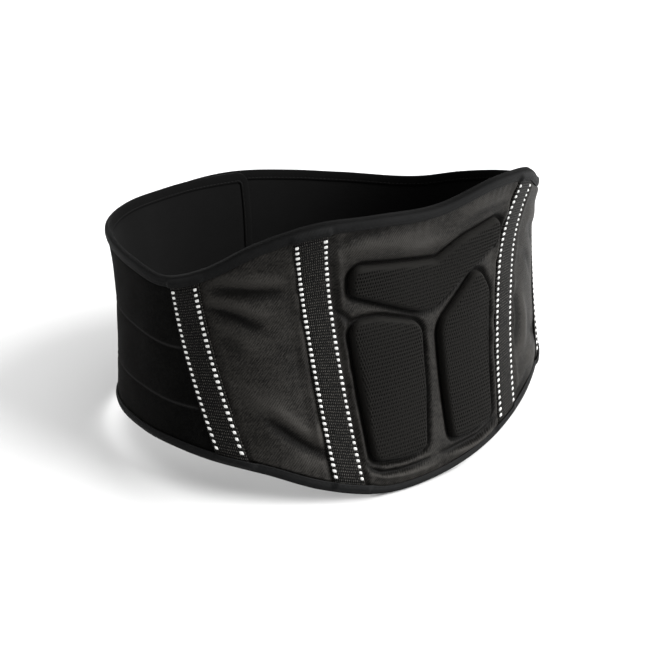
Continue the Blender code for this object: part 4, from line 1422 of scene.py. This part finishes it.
class BELT_OT_webbing(bpy.types.Operator):
    """Makes the four webbing strips and their reflective dashes"""

    bl_idname = "kidney_belt.webbing"
    bl_label = "Webbing Strips"

    def execute(self, context):
        sizes = context.scene.belt_sizes
        colours = context.scene.belt_colours
        webbing = webbing_material(colours)
        silver = dash_material(colours)
        for strip in STRIPS:
            half = strip.half
            middle = np.linspace(-half + 0.0009, half - 0.0009, 27)
            across = np.concatenate([[-half, -half + 0.0003], middle, [half - 0.0003, half]])
            tall = float(upper_edge(strip.top) - lower_edge(strip.foot))
            # About four rows of points to a rib.
            rows = int(round(tall / 0.00051))
            around, height, side, down = strip_grid(strip, across, np.linspace(0.0, 1.0, rows + 1))
            length = down * tall
            top = self.face(side / half, length, down, tall)
            bottom = LAID_GAP - LEAST_WALL
            sunk = drawn_in(from_edges(around, height)[0])
            outer = on_belt(around, height, np.maximum(top, bottom + LEAST_WALL) - sunk)
            inner = on_belt(around, height, bottom - sunk)
            piece = closed_cloth(strip.node + "_webbing", outer, inner, side, length)
            dress(piece, "black_webbing", (webbing, webbing), strip.node)
            dress(self.dashes(strip, tall, sizes), "black_webbing", (silver,))
        return {"FINISHED"}

    @staticmethod
    def face(side, length, down, tall):
        """The strip's outer face: a low crown over the stay, by the root of one less the fourth power,
        ribs by a sine, thin selvedges, and a dip where the tape presses its ends down. side is nought
        at the middle and 1 at a selvedge."""
        crown = 0.0007 * np.sqrt(np.clip(1.0 - side**4, 0.0, 1.0))
        middle = 1.0 - ease((np.abs(side) - 0.60) / 0.06)
        rib = np.abs(np.sin(math.pi * length / STRIP_RIB))
        selvedge = -0.00045 * ease((np.abs(side) - 0.955) / 0.04)
        ends = (down * tall, (1.0 - down) * tall)
        pressed = 0.0005 * sum(bell(gap - 0.003, 0.004) for gap in ends)
        top = LAID_GAP + STRIP_THICKNESS - 0.0006 + crown + 0.00022 * middle * rib
        return top + selvedge - pressed

    @staticmethod
    def dashes(strip, tall, sizes):
        """Two columns of dashes: each a pillow, whose height falls with the power of 3.5 towards its
        sides, closed by its own flat underside. Their widths vary by a sine of their number."""
        edge = TAPE_SHOWN * TAPE_WIDTH / tall
        count = int(round((1.0 - 2.0 * edge) * tall / sizes.dash_pitch))
        down = edge + (np.arange(count) + 0.5) / count * (1.0 - 2.0 * edge)
        share = np.array([-1.0, -0.84, -0.40, 0.40, 0.84, 1.0])
        x, y = np.meshgrid(share, share)
        pillow = (1.0 - np.abs(x) ** 3.5) * (1.0 - np.abs(y) ** 3.5)
        rounding = 1.0 - 0.16 * (np.abs(x * y) ** 2)
        side = (0.5 * sizes.dash_width) * x * rounding
        run = (0.5 * sizes.dash_length) * y * rounding / tall
        points = []
        for column in (-1.0, 1.0):
            where = down[:, None, None] + run
            wave = np.sin(7.3 * np.arange(count) + 2.0 * column + 40.0 * strip.top)
            across = column * strip.column + side * (0.90 + 0.12 * wave)[:, None, None]
            around = strip_middle(strip, where) + across
            low, high = in_from_edges(around, STRIP_END)
            height = high + (low - high) * where
            base = LAID_GAP + STRIP_THICKNESS - 0.0001 - drawn_in(from_edges(around, height)[0])
            faces = (base + 0.00070 * pillow, base - LEAST_WALL)
            flat = [np.stack([around, height, face], axis=-1).reshape(count, -1, 3) for face in faces]
            points.append(np.concatenate(flat, axis=1).reshape(-1, 3))
        size = len(share) ** 2
        faces = np.concatenate(shell_faces(len(share), len(share)))
        return join_flat(strip.node + "_dashes", [(part, faces, 2 * size) for part in points])


def spaced(count):
    """Places from -1 to 1, closer together towards both ends."""
    even = np.linspace(-1.0, 1.0, int(round(count)) + 1)
    return 0.6 * even + 0.4 * np.sin(0.5 * math.pi * even)


def pad_grid(outline, step):
    """A grid over a pad: columns from its one side to the other, each from the outline's lower chain
    to its upper one. Both are spaced by six tenths of an even share and four of its sine, so that they
    are closer together towards the rim."""
    places = outline[:-1]
    left = int(np.argmin(places[:, 0]))
    ordered = np.roll(places, -left, axis=0)
    right = int(np.argmax(ordered[:, 0]))
    one = ordered[: right + 1]
    other = np.concatenate([ordered[right:], ordered[:1]])[::-1]
    if one[:, 1].mean() < other[:, 1].mean():
        one, other = other, one
    low, high = places[:, 0].min() + 0.00004, places[:, 0].max() - 0.00004
    around = 0.5 * (low + high) + 0.5 * (high - low) * spaced((high - low) / step)
    top = np.interp(around, one[:, 0], one[:, 1])
    foot = np.interp(around, other[:, 0], other[:, 1])
    up = 0.5 + 0.5 * spaced((top - foot).max() / step)[:, None]
    return np.broadcast_to(around, (len(up), len(around))), foot + (top - foot) * up


class BELT_OT_pads(bpy.types.Operator):
    """Makes the three mesh-covered pads over the spine"""

    bl_idname = "kidney_belt.pads"
    bl_label = "Pads"

    def execute(self, context):
        sizes = context.scene.belt_sizes
        mesh = mesh_material(context.scene.belt_colours)
        for node in PADS:
            around, height = pad_grid(OUTLINES[node], sizes.pad_step)
            inside = np.maximum(-outline_distance(around, height, OUTLINES[node]), 0.0)
            share = np.clip(inside / sizes.pad_shoulder, 0.0, 1.0)
            rise = np.sqrt(1.0 - (1.0 - share) ** 2)
            foot = -sizes.pad_moat * 0.45
            middle = np.maximum(inside - 0.6 * sizes.pad_shoulder, 0.0)
            crown = sizes.pad_crown * (1.0 - np.exp(-middle / 0.009))
            meshed = ease((inside - 0.0017) / 0.0010)
            slits = slit_depth(around, height) * meshed
            outward = foot + (sizes.pad_top - foot) * rise + crown - sizes.slit_depth * slits
            outer = on_belt(around, height, outward)
            inner = on_belt(around, height, foot - LEAST_WALL)
            piece = closed_cloth(node + "_mesh", outer, inner, around, height)
            point_value(piece, "meshed", meshed)
            dress(piece, "dark_mesh_cloth", (mesh, mesh), node)
        return {"FINISHED"}


class BELT_OT_hook_patch(bpy.types.Operator):
    """Makes the hook tape between the two wings"""

    bl_idname = "kidney_belt.hook_patch"
    bl_label = "Hook Tape"

    def execute(self, context):
        start = RIGHT_END + PATCH_MARGIN
        stop = LEFT_END - 2.0 * HALF_GIRTH - PATCH_MARGIN
        around, up = np.meshgrid(np.linspace(start, stop, 40), np.linspace(0.0, 1.0, 50))
        other = around + 2.0 * HALF_GIRTH
        high = np.minimum(upper_edge(around), upper_edge(other)) - PATCH_MARGIN
        low = np.maximum(lower_edge(around), lower_edge(other)) + PATCH_MARGIN
        height = low + (high - low) * up
        outer = on_belt(around, height, -WING_WALL - LAID_GAP)
        inner = on_belt(around, height, LAID_GAP - LAP_STEP)
        piece = closed_cloth("hook_patch_tape", outer, inner, around, height)
        hook = hook_material(context.scene.belt_colours)
        dress(piece, "black_hook_tape", (hook, hook), "hook_patch")
        return {"FINISHED"}


class BELT_OT_studio(bpy.types.Operator):
    """Makes the pale floor, the soft lights and the camera"""

    bl_idname = "kidney_belt.studio"
    bl_label = "Studio"

    def execute(self, context):
        self.camera(context)
        self.floor(context)
        self.light("window", (0.66, -0.50, 0.62), 50.0, 10.2)
        self.light("behind", (0.45, 0.80, 0.50), 40.0, 3.0)
        self.light("ceiling", (0.15, 0.20, 1.0), 80.0, 3.7)
        world = bpy.data.worlds.new("studio_air")
        world.use_nodes = True
        air = world.node_tree.nodes["Background"].inputs
        air["Color"].default_value = (1.0, 1.0, 1.0, 1.0)
        air["Strength"].default_value = 0.25
        context.scene.world = world
        context.scene.view_settings.view_transform = "Standard"
        return {"FINISHED"}

    @staticmethod
    def camera(context):
        """The camera's three axes in the upright belt's frame, turned with the belt to the floor's."""
        sine, cosine = math.sin(CAMERA_AROUND), math.cos(CAMERA_AROUND)
        level = math.cos(CAMERA_ABOVE)
        back = np.array([-sine * level, -cosine * level, math.sin(CAMERA_ABOVE)])
        right = np.array([cosine, -sine, 0.0])
        up = np.cross(back, right)
        roll_cosine, roll_sine = math.cos(CAMERA_ROLL), math.sin(CAMERA_ROLL)
        rolled = (roll_cosine * right - roll_sine * up, roll_sine * right + roll_cosine * up)
        axes = settled(np.array([*rolled, back])) - settled(np.zeros(3))
        place = settled(back * CAMERA_DISTANCE)
        data = bpy.data.cameras.new("camera")
        data.sensor_width = SENSOR_WIDTH
        data.lens = CAMERA_FOCUS / IMAGE_SIZE * data.sensor_width
        data.shift_x = -CAMERA_CROP[0] / IMAGE_SIZE
        data.shift_y = CAMERA_CROP[1] / IMAGE_SIZE
        camera = bpy.data.objects.new("camera", data)
        frame_of = Matrix(axes.T.tolist()).to_4x4()
        frame_of.translation = Vector(place.tolist())
        camera.matrix_world = frame_of
        context.scene.collection.objects.link(camera)
        context.scene.camera = camera

    @staticmethod
    def floor(context):
        """A flat square far wider than the view."""
        base = (*context.scene.belt_colours.floor, 1.0)
        cloth = ClothMaterial("pale_floor", 0.7, 0.2, base_color=base)
        mesh = bpy.data.meshes.new("floor")
        corners = [(-1, -1), (1, -1), (1, 1), (-1, 1)]
        mesh.from_pydata([(FLOOR_HALF * x, FLOOR_HALF * y, 0.0) for x, y in corners], [], [(0, 1, 2, 3)])
        mesh.materials.append(cloth.made)
        floor = bpy.data.objects.new("floor", mesh)
        context.scene.collection.objects.link(floor)

    @staticmethod
    def light(name, towards, spread, strength):
        """An even, soft light from one direction, spread over an angle in degrees."""
        data = bpy.data.lights.new(name, "SUN")
        data.angle = math.radians(spread)
        data.energy = strength
        light = bpy.data.objects.new(name, data)
        light.rotation_mode = "QUATERNION"
        light.rotation_quaternion = Vector(towards).to_track_quat("Z", "Y")
        bpy.context.scene.collection.objects.link(light)


PIECES = (
    BELT_OT_back_cover,
    BELT_OT_wings,
    BELT_OT_edge_tapes,
    BELT_OT_webbing,
    BELT_OT_pads,
    BELT_OT_hook_patch,
    BELT_OT_studio,
)


class BELT_PT_cloth(bpy.types.Panel):
    """Lists the belt's pieces, sizes and colours"""

    bl_idname = "BELT_PT_cloth"
    bl_label = "Kidney Belt"
    bl_space_type = "VIEW_3D"
    bl_region_type = "UI"
    bl_category = "Kidney Belt"

    def draw(self, context):
        for operator in PIECES:
            self.layout.operator(operator.bl_idname)
        for group in (context.scene.belt_sizes, context.scene.belt_colours):
            column = self.layout.column()
            for name in type(group).__annotations__:
                column.prop(group, name)


CLASSES = (BeltSizes, BeltColours, *PIECES, BELT_PT_cloth)


def register():
    for part in CLASSES:
        bpy.utils.register_class(part)
    bpy.types.Scene.belt_sizes = bpy.props.PointerProperty(type=BeltSizes)
    bpy.types.Scene.belt_colours = bpy.props.PointerProperty(type=BeltColours)


def unregister():
    del bpy.types.Scene.belt_colours
    del bpy.types.Scene.belt_sizes
    for part in reversed(CLASSES):
        bpy.utils.unregister_class(part)


def main():
    register()
    bpy.ops.kidney_belt.back_cover()
    bpy.ops.kidney_belt.wings()
    bpy.ops.kidney_belt.edge_tapes()
    bpy.ops.kidney_belt.webbing()
    bpy.ops.kidney_belt.pads()
    bpy.ops.kidney_belt.hook_patch()
    bpy.ops.kidney_belt.studio()


if __name__ == "__main__":
    main()
